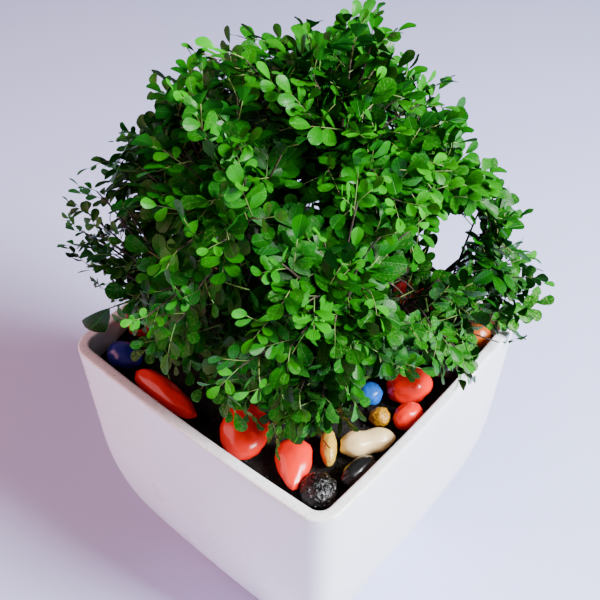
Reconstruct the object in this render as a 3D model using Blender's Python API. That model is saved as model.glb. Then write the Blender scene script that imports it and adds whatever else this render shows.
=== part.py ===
"""Orange jasmine in a square white pot, with dyed pebbles on dark soil.

Metres, +Z up. The origin is the centre of the pot's foot on the ground, and the pot's faces lie along
X and Y. Every leafy stem is one solid: a woody stem, a rough core of dense twigs and the compound
leaves that stand out of it, joined.
"""

import math
import random

import bmesh
import bpy
from mathutils import Matrix, Vector, noise
from mathutils.bvhtree import BVHTree

# Pot: everything follows from the rim's side and the height.
RIM_SIDE = 0.200
POT_HEIGHT = 0.216
WALL = 0.034 * RIM_SIDE
CORNER_RADIUS = 0.068 * RIM_SIDE
SIDE_BOW = 0.0127 * RIM_SIDE
SIDE_LEAN = 0.026
CURVE_START = 0.411 * RIM_SIDE
CURVE_SPAN = 0.811 * RIM_SIDE
CURVE_IN = 0.379 * RIM_SIDE
EDGE_ROUND = 0.0016
EDGE_CUT = 0.3
FOOT_ROUND = 0.0025
FLOOR = 0.008
CORNER_STEPS = 4
SIDE_STEPS = 3
WALL_LEVELS = 5
INSIDE_LEVELS = 3

# The gap between neighbouring solids.
GAP = 0.0003

# Soil: its top lies under the rim, a little higher round the stems, with one mound at the -X wall.
SOIL_DEPTH = 0.019
CROWN_RISE = 0.004
CROWN_RADIUS = 0.045
MOUND_PLACE = (-0.090, -0.050)
MOUND_RISE = 0.008
MOUND_RADIUS = 0.024
SOIL_RINGS = 5

# Pebbles: name, place on the soil, half sizes, turn in degrees, taper, waist, roughness and colour.
RED = (0.80, 0.012, 0.004)
BLACK = (0.008, 0.008, 0.009)
CREAM = (0.72, 0.52, 0.25)
OCHRE = (0.55, 0.33, 0.04)
BLUE = (0.015, 0.16, 0.70)
DARK_BLUE = (0.010, 0.012, 0.20)
ORANGE = (0.80, 0.16, 0.02)
PEBBLES = (
    ("dark_blue", (-0.0750, -0.0790), (0.0120, 0.0100, 0.0085), 20, 0.1, 0.0, 0.05, DARK_BLUE),
    ("red_long", (-0.0340, -0.0835), (0.0260, 0.0093, 0.0085), -2, 0.2, 0.0, 0.04, RED),
    ("red_egg", (0.0225, -0.0750), (0.0185, 0.0160, 0.0115), -50, 0.2, 0.0, 0.03, RED),
    ("red_pointed", (0.0575, -0.0730), (0.0170, 0.0145, 0.0105), -50, 0.6, 0.0, 0.05, RED),
    ("rough_black", (0.0790, -0.0775), (0.0115, 0.0108, 0.0090), -50, 0.0, 0.0, 0.14, BLACK),
    ("thin_yellow", (0.0650, -0.0515), (0.0120, 0.0052, 0.0080), -50, 0.1, 0.0, 0.05, OCHRE),
    ("cream_waisted", (0.0790, -0.0335), (0.0165, 0.0100, 0.0090), 55, 0.25, 0.2, 0.02, CREAM),
    ("smooth_black", (0.0870, -0.0530), (0.0130, 0.0065, 0.0070), 84, 0.0, 0.0, 0.03, BLACK),
    ("ochre", (0.0735, -0.0140), (0.0068, 0.0060, 0.0065), 30, 0.0, 0.0, 0.12, OCHRE),
    ("bright_blue", (0.0585, -0.0040), (0.0080, 0.0075, 0.0070), 0, 0.0, 0.0, 0.08, BLUE),
    ("red_upper", (0.0740, 0.0140), (0.0145, 0.0115, 0.0100), 60, 0.0, 0.0, 0.04, RED),
    ("red_lower", (0.0862, -0.0040), (0.0100, 0.0080, 0.0085), 80, 0.1, 0.0, 0.04, RED),
    ("orange", (0.0815, 0.0770), (0.0100, 0.0080, 0.0085), 40, 0.0, 0.0, 0.06, ORANGE),
    ("red_back", (0.0325, 0.0820), (0.0160, 0.0105, 0.0100), 15, 0.1, 0.0, 0.05, RED),
    ("red_wall", (-0.0835, -0.0500), (0.0150, 0.0085, 0.0095), 82, 0.1, 0.0, 0.05, RED),
    ("black_right", (0.0820, 0.0450), (0.0150, 0.0100, 0.0090), 80, 0.1, 0.0, 0.05, BLACK),
    ("cream_back", (0.0600, 0.0860), (0.0090, 0.0060, 0.0080), 10, 0.0, 0.0, 0.04, CREAM),
    ("black_back", (0.0000, 0.0830), (0.0150, 0.0100, 0.0090), -8, 0.0, 0.0, 0.05, BLACK),
    ("blue_back", (-0.0270, 0.0810), (0.0110, 0.0090, 0.0080), 20, 0.0, 0.0, 0.05, BLUE),
    ("red_far", (-0.0520, 0.0820), (0.0120, 0.0100, 0.0095), -20, 0.2, 0.0, 0.05, RED),
    ("ochre_far", (-0.0790, 0.0800), (0.0110, 0.0100, 0.0085), 40, 0.0, 0.0, 0.10, OCHRE),
    ("black_far", (-0.0830, 0.0520), (0.0140, 0.0095, 0.0090), 85, 0.1, 0.0, 0.05, BLACK),
    ("cream_far", (-0.0830, 0.0220), (0.0130, 0.0100, 0.0090), 95, 0.1, 0.0, 0.04, CREAM),
    ("red_side", (-0.0820, -0.0100), (0.0140, 0.0105, 0.0100), 80, 0.15, 0.0, 0.05, RED),
)
TALLEST_PEBBLE = 0.022
WAIST_SPAN = 0.35
WEAR_SCALE = 1.7
WEAR_SHIFT = 3.1
STONE_ROUGHNESS = (0.15, 3.0)

# Bush: a dome over the pot, wider on the side where bearing is WIDE_BEARING. Bearings are from +X.
BUSH_LEVEL = POT_HEIGHT + 0.060
BUSH_RADIUS = 0.138
BUSH_RISE = 0.182
WIDE_BEARING = math.radians(220)
WIDE_EXTRA = 0.016
GOLDEN_TURN = math.radians(137.5)

# Stems: they rise from holes in the soil to points inside the dome, and one more is a side shoot.
STEM_COUNT = 10
STEM_LOWEST = -0.10
STEM_REACH = 0.66
BASE_RING = (0.012, 0.050)
STEM_RADII = (0.0034, 0.0014)
STEM_SIDES = 5
AXIS_STEPS = 6
BURIED = 0.030
STRAIGHT_RISE = 0.004
KNEE_SHARE = 0.45
HOLE_RADIUS = STEM_RADII[0] + 3 * GAP
HOLE_SIDES = 8
SHOOT_BASE = (0.046, 0.038)
SHOOT_TIP = (0.102, 0.085, POT_HEIGHT + 0.100)

# Cores: the dense twigs and old leaves inside the bush, one rough wedge round each stem. They fan out
# from one point and keep between two shares of the dome, above the pot and clear of the side shoot.
FAN_POINT = Vector((0, 0, POT_HEIGHT + 0.015))
CORE_SHARES = (0.27, 0.61)
CORE_LOWEST = POT_HEIGHT + 0.012
CORE_GAP = 0.0030
CORE_ROUGH = 0.50
CORE_NOISE_SCALE = 2.3
CORE_NOISE_SHIFT = 7.3
CORE_SHRINK = 0.06
CORE_SHOOT_GAP = 0.022
CORE_STEPS = (0.064, 0.0005)

# Leaves of the dome: their tips are spread evenly over it, and their roots are sunk in the cores.
SEED = 4
LEAF_COUNT = 80
LEAF_LOWEST = -0.30
LEAF_LEAN = math.radians(46)
LEAF_LEANS = (0.7, 1.15)
LEAF_SUNK = 0.0030
UPRIGHT = 0.99
LEAF_TRIES = 24
SMALLER = 0.2
POT_CLEARANCE = (0.004, 0.003)
PEBBLE_CLEARANCE = 0.002

# Leaves of the side shoot: up its stem from a share of its length, the last one at its end.
SHOOT_LEAVES = 10
SHOOT_LOWEST_LEAF = 0.40
SHOOT_LEAN = math.radians(58)
SHOOT_LEAF_SIZE = 0.85
SHOOT_STALK = 0.010
SHOOT_END = 0.02
SHOOT_SPREAD = 0.4
SHOOT_WIDER = 6
FACE_TILT = 0.6
FACE_LIFT = 0.35

# The gap seen between the bush and the side shoot: a round passage with no leaves.
PASSAGE = (Vector((0.078, 0.040, POT_HEIGHT + 0.116)), Vector((0.020, 0.108, POT_HEIGHT + 0.030)))
PASSAGE_RADIUS = 0.020

# Compound leaf: a bare stalk, then leaflets left and right of a thin rib, and one at its end.
RIB_WIDTH = 0.0011
BLADE = 0.0007
LEAFLET_LENGTH = 0.0150
LEAFLET_WIDTH = 0.0100
LEAFLET_STEPS = (0.0000, 0.0050, 0.0120, 0.0170)
LEAFLET_ANGLE = math.radians(66)
SIDE_LEAFLET = 0.92
RIB_LENGTH = 0.0235
STALKS = (0.008, 0.042)
ROOT = 0.0009
DROOP = 0.14
CUP = 0.16
SIZES = (0.88, 1.12)
OBOVATE = ((0.58, 0.48), (0.95, 0.27))

LEAF_GREEN = (0.035, 0.19, 0.018)
BARK = (0.055, 0.040, 0.022)
SOIL_COLOUR = (0.012, 0.009, 0.007)
POT_WHITE = (0.86, 0.86, 0.88)


def clear_scene():
    for item in list(bpy.data.objects):
        bpy.data.objects.remove(item, do_unlink=True)


def make_material(name, colour, roughness):
    material = bpy.data.materials.new(name)
    material.use_nodes = True
    shader = material.node_tree.nodes["Principled BSDF"]
    shader.inputs["Base Color"].default_value = (*colour, 1.0)
    shader.inputs["Roughness"].default_value = roughness
    shader.inputs["Metallic"].default_value = 0.0
    return material


def add_object(name, bm, *materials):
    """Make a named object of the bmesh, with its faces pointing out."""
    bmesh.ops.recalc_face_normals(bm, faces=bm.faces[:])
    if bm.calc_volume(signed=True) < 0:
        bmesh.ops.reverse_faces(bm, faces=bm.faces[:])
    mesh = bpy.data.meshes.new(name)
    bm.to_mesh(mesh)
    bm.free()
    for material in materials:
        mesh.materials.append(material)
    item = bpy.data.objects.new(name, mesh)
    bpy.context.scene.collection.objects.link(item)
    return item


def shade_round(item, degrees=40):
    item.data.shade_smooth()
    item.data.set_sharp_from_angle(angle=math.radians(degrees))


def join_collection(item, others, operation, solver="EXACT"):
    """Join or cut the item with the other objects in one Boolean, apply it and remove the others."""
    group = bpy.data.collections.new(item.name + "_" + operation.lower())
    for other in others:
        group.objects.link(other)
    boolean = item.modifiers.new(operation.title(), "BOOLEAN")
    boolean.operation = operation
    boolean.operand_type = "COLLECTION"
    boolean.collection = group
    boolean.solver = solver
    bpy.context.view_layer.update()
    graph = bpy.context.evaluated_depsgraph_get()
    joined = bpy.data.meshes.new_from_object(item.evaluated_get(graph))
    item.modifiers.remove(boolean)
    item.data = joined
    for other in others:
        bpy.data.objects.remove(other, do_unlink=True)
    bpy.data.collections.remove(group)


def keep_main_body(item):
    """Drop loose scraps and fill sealed hollows: only the surface with the most faces stays."""
    bm = bmesh.new()
    bm.from_mesh(item.data)
    waiting = set(bm.faces)
    bodies = []
    while waiting:
        body = [waiting.pop()]
        for face in body:
            beside = {other for edge in face.edges for other in edge.link_faces} & waiting
            waiting -= beside
            body += beside
        bodies.append(body)
    bodies.sort(key=len)
    for body in bodies[:-1]:
        bmesh.ops.delete(bm, geom=body, context="FACES")
    bm.to_mesh(item.data)
    bm.free()


def half_width(depth):
    """Half of the pot's outside width at this depth under the rim."""
    half = RIM_SIDE / 2 - SIDE_LEAN * depth
    if depth > CURVE_START:
        share = (depth - CURVE_START) / CURVE_SPAN
        half -= CURVE_IN * (1 - math.sqrt(1 - share * share))
    return half


def square_outline(half, corner):
    """Points of a square with round corners and bowed sides, anticlockwise."""
    flat = half - corner
    points = []
    for quarter in range(4):
        turn = Matrix.Rotation(quarter * math.pi / 2, 2)
        for step in range(CORNER_STEPS + 1):
            angle = math.pi / 2 * step / CORNER_STEPS
            points.append(turn @ Vector((flat + corner * math.cos(angle), flat + corner * math.sin(angle))))
        for step in range(1, SIDE_STEPS):
            points.append(turn @ Vector((flat - 2 * flat * step / SIDE_STEPS, half)))
    bowed = []
    for x, y in points:
        out_x = math.copysign(SIDE_BOW * (1 - min(1, (y / half) ** 2)), x)
        out_y = math.copysign(SIDE_BOW * (1 - min(1, (x / half) ** 2)), y)
        bowed.append((x + out_x, y + out_y))
    return bowed


def add_loop(bm, outline, height):
    """Add a closed loop of edges at a height, or at each point's own height from a function."""
    corners = [bm.verts.new((x, y, height(x, y) if callable(height) else height)) for x, y in outline]
    return [bm.edges.new((corners[i - 1], corners[i])) for i in range(len(corners))]


def bridge_and_cap(bm, loops):
    """Bridge each loop to the next, and close the first and the last one with a face."""
    for lower, upper in zip(loops, loops[1:]):
        bmesh.ops.bridge_loops(bm, edges=lower + upper)
    bmesh.ops.contextual_create(bm, geom=loops[0])
    bmesh.ops.contextual_create(bm, geom=loops[-1])


def levels_down(steps, deepest):
    """Depths under the rim of the loops of a wall, from the start of its curve to the deepest."""
    return [CURVE_START + (deepest - CURVE_START) * step / steps for step in range(steps + 1)]


def build_pot(material):
    bm = bmesh.new()
    loops = []
    for depth in reversed([EDGE_ROUND] + levels_down(INSIDE_LEVELS, POT_HEIGHT - FLOOR)):
        outline = square_outline(half_width(depth) - WALL, CORNER_RADIUS - WALL)
        loops.append(add_loop(bm, outline, POT_HEIGHT - depth))
    rim = half_width(0)
    cut = EDGE_ROUND * EDGE_CUT
    for inset, drop in ((WALL - EDGE_ROUND, 0.0), (EDGE_ROUND, 0.0), (cut, cut)):
        loops.append(add_loop(bm, square_outline(rim - inset, CORNER_RADIUS - inset), POT_HEIGHT - drop))
    for depth in [EDGE_ROUND] + levels_down(WALL_LEVELS, POT_HEIGHT - FOOT_ROUND):
        loops.append(add_loop(bm, square_outline(half_width(depth), CORNER_RADIUS), POT_HEIGHT - depth))
    foot = half_width(POT_HEIGHT) - FOOT_ROUND
    loops.append(add_loop(bm, square_outline(foot, CORNER_RADIUS - FOOT_ROUND), 0.0))
    bridge_and_cap(bm, loops)
    shade_round(add_object("pot", bm, material))


def soil_height(x, y):
    crown = CROWN_RISE * math.exp(-(x * x + y * y) / CROWN_RADIUS**2)
    away = math.hypot(x - MOUND_PLACE[0], y - MOUND_PLACE[1])
    mound = MOUND_RISE * math.exp(-((away / MOUND_RADIUS) ** 2))
    return POT_HEIGHT - SOIL_DEPTH + crown + mound


def build_soil(material):
    bm = bmesh.new()
    loops = []
    for depth in reversed(levels_down(INSIDE_LEVELS, POT_HEIGHT - FLOOR)):
        outline = square_outline(half_width(depth) - WALL - 2 * GAP, CORNER_RADIUS - WALL)
        loops.append(add_loop(bm, outline, max(POT_HEIGHT - depth, FLOOR + GAP)))
    edge = half_width(SOIL_DEPTH) - WALL - 2 * GAP
    for ring in range(SOIL_RINGS):
        share = 1 - ring / SOIL_RINGS
        outline = square_outline(edge * share, (CORNER_RADIUS - WALL) * share)
        loops.append(add_loop(bm, outline, soil_height))
    bridge_and_cap(bm, loops)
    return add_object("soil", bm, material)


def pebble_mesh(half_sizes, taper, waist, rough, seed):
    """A stone from a ball of 80 faces: tapered to +X, drawn in at its middle and worn unevenly."""
    bm = bmesh.new()
    bmesh.ops.create_icosphere(bm, subdivisions=2, radius=1.0)
    for corner in bm.verts:
        along = corner.co.x
        wear = 1 - rough * (1 + noise.noise(corner.co * WEAR_SCALE + Vector((seed * WEAR_SHIFT, 0, 0)))) / 2
        pull = (1 - taper * (along + 1) / 2) * (1 - waist * math.exp(-((along / WAIST_SPAN) ** 2)))
        corner.co = Vector((along, corner.co.y * pull, corner.co.z * pull)) * wear
        corner.co = Vector([value * half for value, half in zip(corner.co, half_sizes)])
    return bm


def surface_tree(mesh, matrix, margin):
    """The surface of a placed mesh, for finding out what it meets within a margin."""
    corners = [matrix @ corner.co for corner in mesh.vertices]
    return BVHTree.FromPolygons(corners, [face.vertices for face in mesh.polygons], epsilon=margin)


def build_pebbles(soil):
    """Each stone lies on the soil: it is raised in small steps until it is a gap clear of it."""
    ground = surface_tree(soil.data, Matrix(), 0.0)
    for seed, (name, place, half_sizes, turn, taper, waist, rough, colour) in enumerate(PEBBLES):
        material = make_material("stone_" + name, colour, STONE_ROUGHNESS[0] + STONE_ROUGHNESS[1] * rough)
        stone = add_object("pebble_" + name, pebble_mesh(half_sizes, taper, waist, rough, seed), material)
        shade_round(stone, 60)
        lie = Matrix.Rotation(math.radians(turn), 4, "Z")
        lie.translation = (*place, soil_height(*place) + half_sizes[2] / 2)
        while crosses(surface_tree(stone.data, lie, GAP), [ground]):
            lie.translation.z += GAP
        stone.matrix_world = lie


def dome_radius(bearing):
    return BUSH_RADIUS + WIDE_EXTRA * math.cos(bearing - WIDE_BEARING)


def dome_point(bearing, height_share, reach):
    """A point on the dome, drawn in to a share of its reach. height_share is 1 at the top."""
    level = math.sqrt(max(0.0, 1 - height_share * height_share))
    out = dome_radius(bearing) * level * reach
    rise = BUSH_RISE * height_share * reach
    return Vector((out * math.cos(bearing), out * math.sin(bearing), BUSH_LEVEL + rise))


def stem_axis(base, tip):
    """Points up the stem: straight up through the soil, then a curve to the tip."""
    start = Vector((base[0], base[1], soil_height(*base) + STRAIGHT_RISE))
    knee = start + Vector((0, 0, KNEE_SHARE * (tip.z - start.z)))
    points = [start - Vector((0, 0, BURIED + STRAIGHT_RISE)), start]
    for step in range(1, AXIS_STEPS + 1):
        t = step / AXIS_STEPS
        points.append(start * (1 - t) ** 2 + knee * 2 * t * (1 - t) + tip * t * t)
    return points


def stem_way(i):
    """Bearing and height share of a stem's end on the dome."""
    return i * GOLDEN_TURN, 1 - (1 - STEM_LOWEST) * (i + 0.5) / STEM_COUNT


def stem_axes():
    axes = []
    for i in range(STEM_COUNT):
        bearing, height_share = stem_way(i)
        ring = BASE_RING[0] + (BASE_RING[1] - BASE_RING[0]) * math.sqrt((i + 0.5) / STEM_COUNT)
        base = (ring * math.cos(bearing), ring * math.sin(bearing))
        axes.append(stem_axis(base, dome_point(bearing, height_share, STEM_REACH)))
    axes.append(stem_axis(SHOOT_BASE, Vector(SHOOT_TIP)))
    return axes


def distance_to(axis, point):
    """How far a point is from a stem's axis above the soil."""
    gaps = []
    for a, b in zip(axis[1:], axis[2:]):
        share = max(0.0, min(1.0, (point - a).dot(b - a) / (b - a).length_squared))
        gaps.append((point - a.lerp(b, share)).length)
    return min(gaps)


def along_axis(axis, steps):
    """The place this many steps up an axis, between two of its points."""
    i = int(steps)
    return axis[i].lerp(axis[i + 1], steps - i)


def crosses(tree, placed):
    """Whether a piece meets any of those already placed."""
    return any(tree.overlap(other) for other in placed)


def in_passage(point):
    """Whether a point is in the gap between the bush and the side shoot."""
    start, end = PASSAGE
    along = end - start
    share = (point - start).dot(along) / along.length_squared
    return share > 0 and (point - start.lerp(end, share)).length < PASSAGE_RADIUS


def clear_of_pot(points):
    """Whether every point stands clear of the pot's rim and of the pebbles, and out of the passage."""
    beside, above = POT_CLEARANCE
    for point in points:
        out = max(abs(point.x), abs(point.y))
        if out < RIM_SIDE / 2 + SIDE_BOW + beside and point.z < POT_HEIGHT + above:
            return False
        for _, place, half_sizes, *_ in PEBBLES:
            near = (point.xy - Vector(place)).length < max(half_sizes) + PEBBLE_CLEARANCE
            if near and point.z < soil_height(*place) + TALLEST_PEBBLE:
                return False
        if in_passage(point):
            return False
    return True


def tube(path, radii, sides):
    """A closed tube along the path, its radius going from the first to the second."""
    bm = bmesh.new()
    loops = []
    for i, place in enumerate(path):
        ahead = path[min(i + 1, len(path) - 1)] - path[max(i - 1, 0)]
        frame = ahead.to_track_quat("Z", "Y").to_matrix().to_4x4()
        radius = radii[0] + (radii[1] - radii[0]) * i / (len(path) - 1)
        made = bmesh.ops.create_circle(
            bm, segments=sides, radius=radius, matrix=Matrix.Translation(place) @ frame
        )
        loops.append(list({edge for corner in made["verts"] for edge in corner.link_edges}))
    bridge_and_cap(bm, loops)
    return bm


def leaflet_outline(base, direction, length, width):
    """The free points of one obovate leaflet, from its right edge round the tip to its left edge."""
    ahead = Vector((math.cos(direction), math.sin(direction)))
    side = Vector((-ahead.y, ahead.x))
    right = [base + ahead * (length * u) - side * (width * v) for u, v in OBOVATE]
    left = [base + ahead * (length * u) + side * (width * v) for u, v in reversed(OBOVATE)]
    return right + left


def leaf_outline(size, stalk):
    """The outline of a compound leaf in its own plane: rib along +X, leaflets cut to the rib."""
    half = RIB_WIDTH / 2
    right = [Vector((-ROOT, -half))]
    left = [Vector((-ROOT, half))]
    for i, step in enumerate(LEAFLET_STEPS):
        sign = 1 if i % 2 else -1
        grown = size * SIDE_LEAFLET
        base = Vector((stalk + step * size, sign * half))
        free = leaflet_outline(base, sign * LEAFLET_ANGLE, LEAFLET_LENGTH * grown, LEAFLET_WIDTH * grown)
        before = base - Vector((half, 0))
        after = base + Vector((half, 0))
        if sign < 0:
            right += [before] + free + [after]
        else:
            left += [before] + free[::-1] + [after]
    end = stalk + RIB_LENGTH * size
    right.append(Vector((end, -half)))
    left.append(Vector((end, half)))
    tip = leaflet_outline(Vector((end - half, 0)), 0.0, LEAFLET_LENGTH * size, LEAFLET_WIDTH * size)
    return right + tip + left[::-1]


def leaf_frame(root, direction, face):
    """Matrix of a leaf that grows from root along direction and turns its upper side towards face."""
    ahead = direction.normalized()
    side = face.cross(ahead).normalized()
    up = ahead.cross(side)
    turn = Matrix((ahead, side, up)).transposed()
    return Matrix.Translation(root) @ turn.to_4x4()


def bent(x, y, size, stalk):
    """Height of the leaf's upper side: the rib droops to its end and each side is raised a little."""
    full = stalk + (RIB_LENGTH + LEAFLET_LENGTH) * size
    return BLADE / 2 + CUP * abs(y) - DROOP * max(0.0, x) ** 2 / full


def leaf_blade(size, stalk):
    """A thin compound leaf: its outline is split into triangles, bent and given its thickness."""
    bm = bmesh.new()
    face = bm.faces.new([bm.verts.new((x, y, 0)) for x, y in leaf_outline(size, stalk)])
    face.normal_update()
    bmesh.ops.triangulate(bm, faces=[face])
    for corner in bm.verts:
        corner.co.z = bent(corner.co.x, corner.co.y, size, stalk)
    grown = bmesh.ops.extrude_face_region(bm, geom=bm.faces[:])["geom"]
    lower = [item for item in grown if isinstance(item, bmesh.types.BMVert)]
    bmesh.ops.translate(bm, verts=lower, vec=(0, 0, -BLADE))
    return bm


def clear_leaf(size, stalk, matrix, others, leaves):
    """The mesh of a placed compound leaf, now one of the leaves to keep clear of, or None if it crosses."""
    bm = leaf_blade(size, stalk)
    bm.transform(matrix)
    tree = BVHTree.FromBMesh(bm, epsilon=GAP)
    if clear_of_pot([corner.co for corner in bm.verts]) and not crosses(tree, others + leaves):
        leaves.append(tree)
        return bm
    bm.free()
    return None


def grow_shoot_leaf(root, ahead, turn, spread, others, leaves, draw):
    """The mesh of one leaf of the side shoot, turned further at each try until it is clear, or None."""
    across = ahead.orthogonal().normalized()
    for attempt in range(LEAF_TRIES):
        wider = attempt / LEAF_TRIES
        size = SHOOT_LEAF_SIZE * draw.uniform(*SIZES) * (1 - SMALLER * wider)
        around = turn + draw.uniform(-SHOOT_SPREAD, SHOOT_SPREAD) * (1 + SHOOT_WIDER * wider)
        lean = spread + wider
        side = Matrix.Rotation(around, 3, ahead) @ across
        direction = ahead * math.cos(lean) + side * math.sin(lean)
        face = ahead * math.sin(lean) - side * FACE_TILT * math.cos(lean) + Vector((0, 0, FACE_LIFT))
        bm = clear_leaf(size, SHOOT_STALK, leaf_frame(root, direction, face), others, leaves)
        if bm:
            return bm
    return None


def in_core_space(point, own, fans, shoot):
    """Whether a point lies in a stem's own wedge of the dome."""
    away = point - FAN_POINT
    if away.dot(fans[own]) < CORE_SHARES[0] * BUSH_RADIUS or point.z < CORE_LOWEST:
        return False
    for k, fan in enumerate(fans):
        if k != own and away.dot((fan - fans[own]).normalized()) > -CORE_GAP:
            return False
    across = math.hypot(point.x, point.y) / dome_radius(math.atan2(point.y, point.x))
    if math.hypot(across, (point.z - BUSH_LEVEL) / BUSH_RISE) > CORE_SHARES[1]:
        return False
    return distance_to(shoot, point) > CORE_SHOOT_GAP and not in_passage(point)


def core_reach(start, direction, own, fans, shoot):
    """How far a stem's wedge goes from a start in one direction, found by ever smaller steps."""
    far, step = 0.0, CORE_STEPS[0]
    while step > CORE_STEPS[1]:
        if in_core_space(start + direction * (far + step), own, fans, shoot):
            far += step
        step /= 2
    return far


def core_mesh(own, fans, shoot):
    """A rough wedge of 80 faces: a ball whose corners are moved out as far as the wedge's space goes."""
    start = FAN_POINT + fans[own] * (CORE_SHARES[0] * BUSH_RADIUS + CORE_GAP)
    middle = start + fans[own] * core_reach(start, fans[own], own, fans, shoot) / 2
    bm = bmesh.new()
    bmesh.ops.create_icosphere(bm, subdivisions=2, radius=1.0)
    for corner in bm.verts:
        outward = corner.co.normalized()
        wear = (1 + noise.noise(outward * CORE_NOISE_SCALE + Vector((own * CORE_NOISE_SHIFT, 0, 0)))) / 2
        far = core_reach(middle, outward, own, fans, shoot)
        corner.co = middle + outward * far * (1 - CORE_ROUGH * wear)
    return bm, middle


def grow_core(own, fans, shoot, others):
    """The mesh of a stem's core, drawn in until it is clear of the other stems."""
    bm, middle = core_mesh(own, fans, shoot)
    while crosses(BVHTree.FromBMesh(bm, epsilon=GAP), others):
        for corner in bm.verts:
            corner.co = corner.co.lerp(middle, CORE_SHRINK)
    return bm


def root_of(tip, lean, turn, cores):
    """(stem, root, direction) of a leaf that ends at a tip, or None.

    A line goes in from the tip, leaning down, and the leaf grows back along it from the first core.
    """
    inward = (Vector((0, 0, BUSH_LEVEL)) - tip).normalized()
    level = inward.orthogonal() if abs(inward.z) > UPRIGHT else inward.cross(Vector((0, 0, 1)))
    level.normalize()
    down = level.cross(inward)
    way = inward * math.cos(lean) + (down * math.cos(turn) + level * math.sin(turn)) * math.sin(lean)
    hits = [(tree.ray_cast(tip, way), own) for own, tree in enumerate(cores)]
    met = [(hit[3], own, hit[0]) for hit, own in hits if hit[0]]
    if not met:
        return None
    _, own, place = min(met, key=lambda found: found[0])
    return own, place + way * LEAF_SUNK, -way


def grow_dome_leaf(i, wood, cores, leaves, draw):
    """The stem and the mesh of one leaf of the dome, from another side at each try until it is clear."""
    height_share = 1 - (1 - LEAF_LOWEST) * (i + 0.5) / LEAF_COUNT
    tip = dome_point(i * GOLDEN_TURN, height_share, 1.0)
    away = tip - Vector((0, 0, BUSH_LEVEL))
    for attempt in range(LEAF_TRIES):
        closer = attempt / LEAF_TRIES
        lean = LEAF_LEAN * draw.uniform(*LEAF_LEANS) * (1 - closer)
        turn = draw.uniform(-1, 1) * (1 + 2 * max(0.0, height_share))
        found = root_of(tip, lean, turn, cores)
        if found is None:
            continue
        own, root, direction = found
        size = draw.uniform(*SIZES) * (1 - SMALLER * closer)
        stalk = (tip - root).length - (RIB_LENGTH + LEAFLET_LENGTH) * size
        stalk = max(STALKS[0], min(STALKS[1], stalk))
        others = wood[:own] + wood[own + 1 :] + cores[:own] + cores[own + 1 :]
        bm = clear_leaf(size, stalk, leaf_frame(root, direction, away), others, leaves)
        if bm:
            return own, bm
    return None


def shoot_leaf_places(axis):
    """(place, direction of the stem there, lean) of each leaf of the side shoot."""
    places = []
    for i in range(SHOOT_LEAVES):
        share = SHOOT_LOWEST_LEAF + (1 - SHOOT_LOWEST_LEAF) * i / (SHOOT_LEAVES - 1)
        steps = 1 + share * (AXIS_STEPS - SHOOT_END)
        ahead = axis[int(steps) + 1] - axis[int(steps)]
        places.append((along_axis(axis, steps), ahead.normalized(), SHOOT_LEAN if share < 1 else 0.0))
    return places


def build_stems(axes, draw, bark, green):
    """The leafy stems: each is a woody tube with its core and its leaves, joined in one solid."""
    shoot = len(axes) - 1
    stems, parts, wood = [], [], []
    for own, axis in enumerate(axes):
        bm = tube(axis, STEM_RADII, STEM_SIDES)
        wood.append(BVHTree.FromBMesh(bm, epsilon=GAP))
        name = "side_shoot" if own == shoot else f"leafy_stem_{own + 1:02d}"
        stems.append(add_object(name, bm, bark, green))
        parts.append([])
    fans = [(dome_point(*stem_way(i), 1.0) - FAN_POINT).normalized() for i in range(STEM_COUNT)]
    cores = []
    for own in range(STEM_COUNT):
        bm = grow_core(own, fans, axes[shoot], wood[:own] + wood[own + 1 :])
        cores.append(BVHTree.FromBMesh(bm, epsilon=GAP))
        parts[own].append(add_object("core", bm, green))
    leaves = []
    for i, (root, ahead, lean) in enumerate(shoot_leaf_places(axes[shoot])):
        bm = grow_shoot_leaf(root, ahead, i * GOLDEN_TURN, lean, wood[:shoot] + cores, leaves, draw)
        if bm:
            parts[shoot].append(add_object("leaf", bm, green))
    for i in range(LEAF_COUNT):
        grown = grow_dome_leaf(i, wood, cores, leaves, draw)
        if grown:
            parts[grown[0]].append(add_object("leaf", grown[1], green))
    for stem, grown in zip(stems, parts):
        join_collection(stem, grown, "UNION", "MANIFOLD")
        keep_main_body(stem)
        stem.data.shade_flat()


def cut_stem_holes(soil, axes):
    holes = []
    for axis in axes:
        bm = bmesh.new()
        bmesh.ops.create_cone(
            bm,
            cap_ends=True,
            segments=HOLE_SIDES,
            radius1=HOLE_RADIUS,
            radius2=HOLE_RADIUS,
            depth=2 * (BURIED + GAP),
        )
        hole = add_object("hole", bm)
        hole.location = (axis[0].x, axis[0].y, axis[0].z + BURIED)
        holes.append(hole)
    join_collection(soil, holes, "DIFFERENCE")


def main():
    clear_scene()
    draw = random.Random(SEED)
    build_pot(make_material("glazed_white", POT_WHITE, 0.25))
    soil = build_soil(make_material("dark_soil", SOIL_COLOUR, 0.95))
    build_pebbles(soil)
    axes = stem_axes()
    cut_stem_holes(soil, axes)
    bark = make_material("bark", BARK, 0.8)
    green = make_material("leaf", LEAF_GREEN, 0.35)
    build_stems(axes, draw, bark, green)


if __name__ == "__main__":
    main()
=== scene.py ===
"""Potted orange jasmine: leaves, bark, soil, dyed stones and glazed pot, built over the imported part.

Metres, +Z up, in the part's own frame: the origin is the centre of the pot's foot on the ground, and
the pot's faces lie along X and Y. Tables of places and sizes are in millimetres.
"""

import random
from math import copysign, cos, exp, hypot, pi, radians, sin, sqrt

import bmesh
import bpy
import numpy as np
from bpy.props import FloatProperty, FloatVectorProperty, IntProperty, PointerProperty
from mathutils import Matrix, Vector, noise


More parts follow.
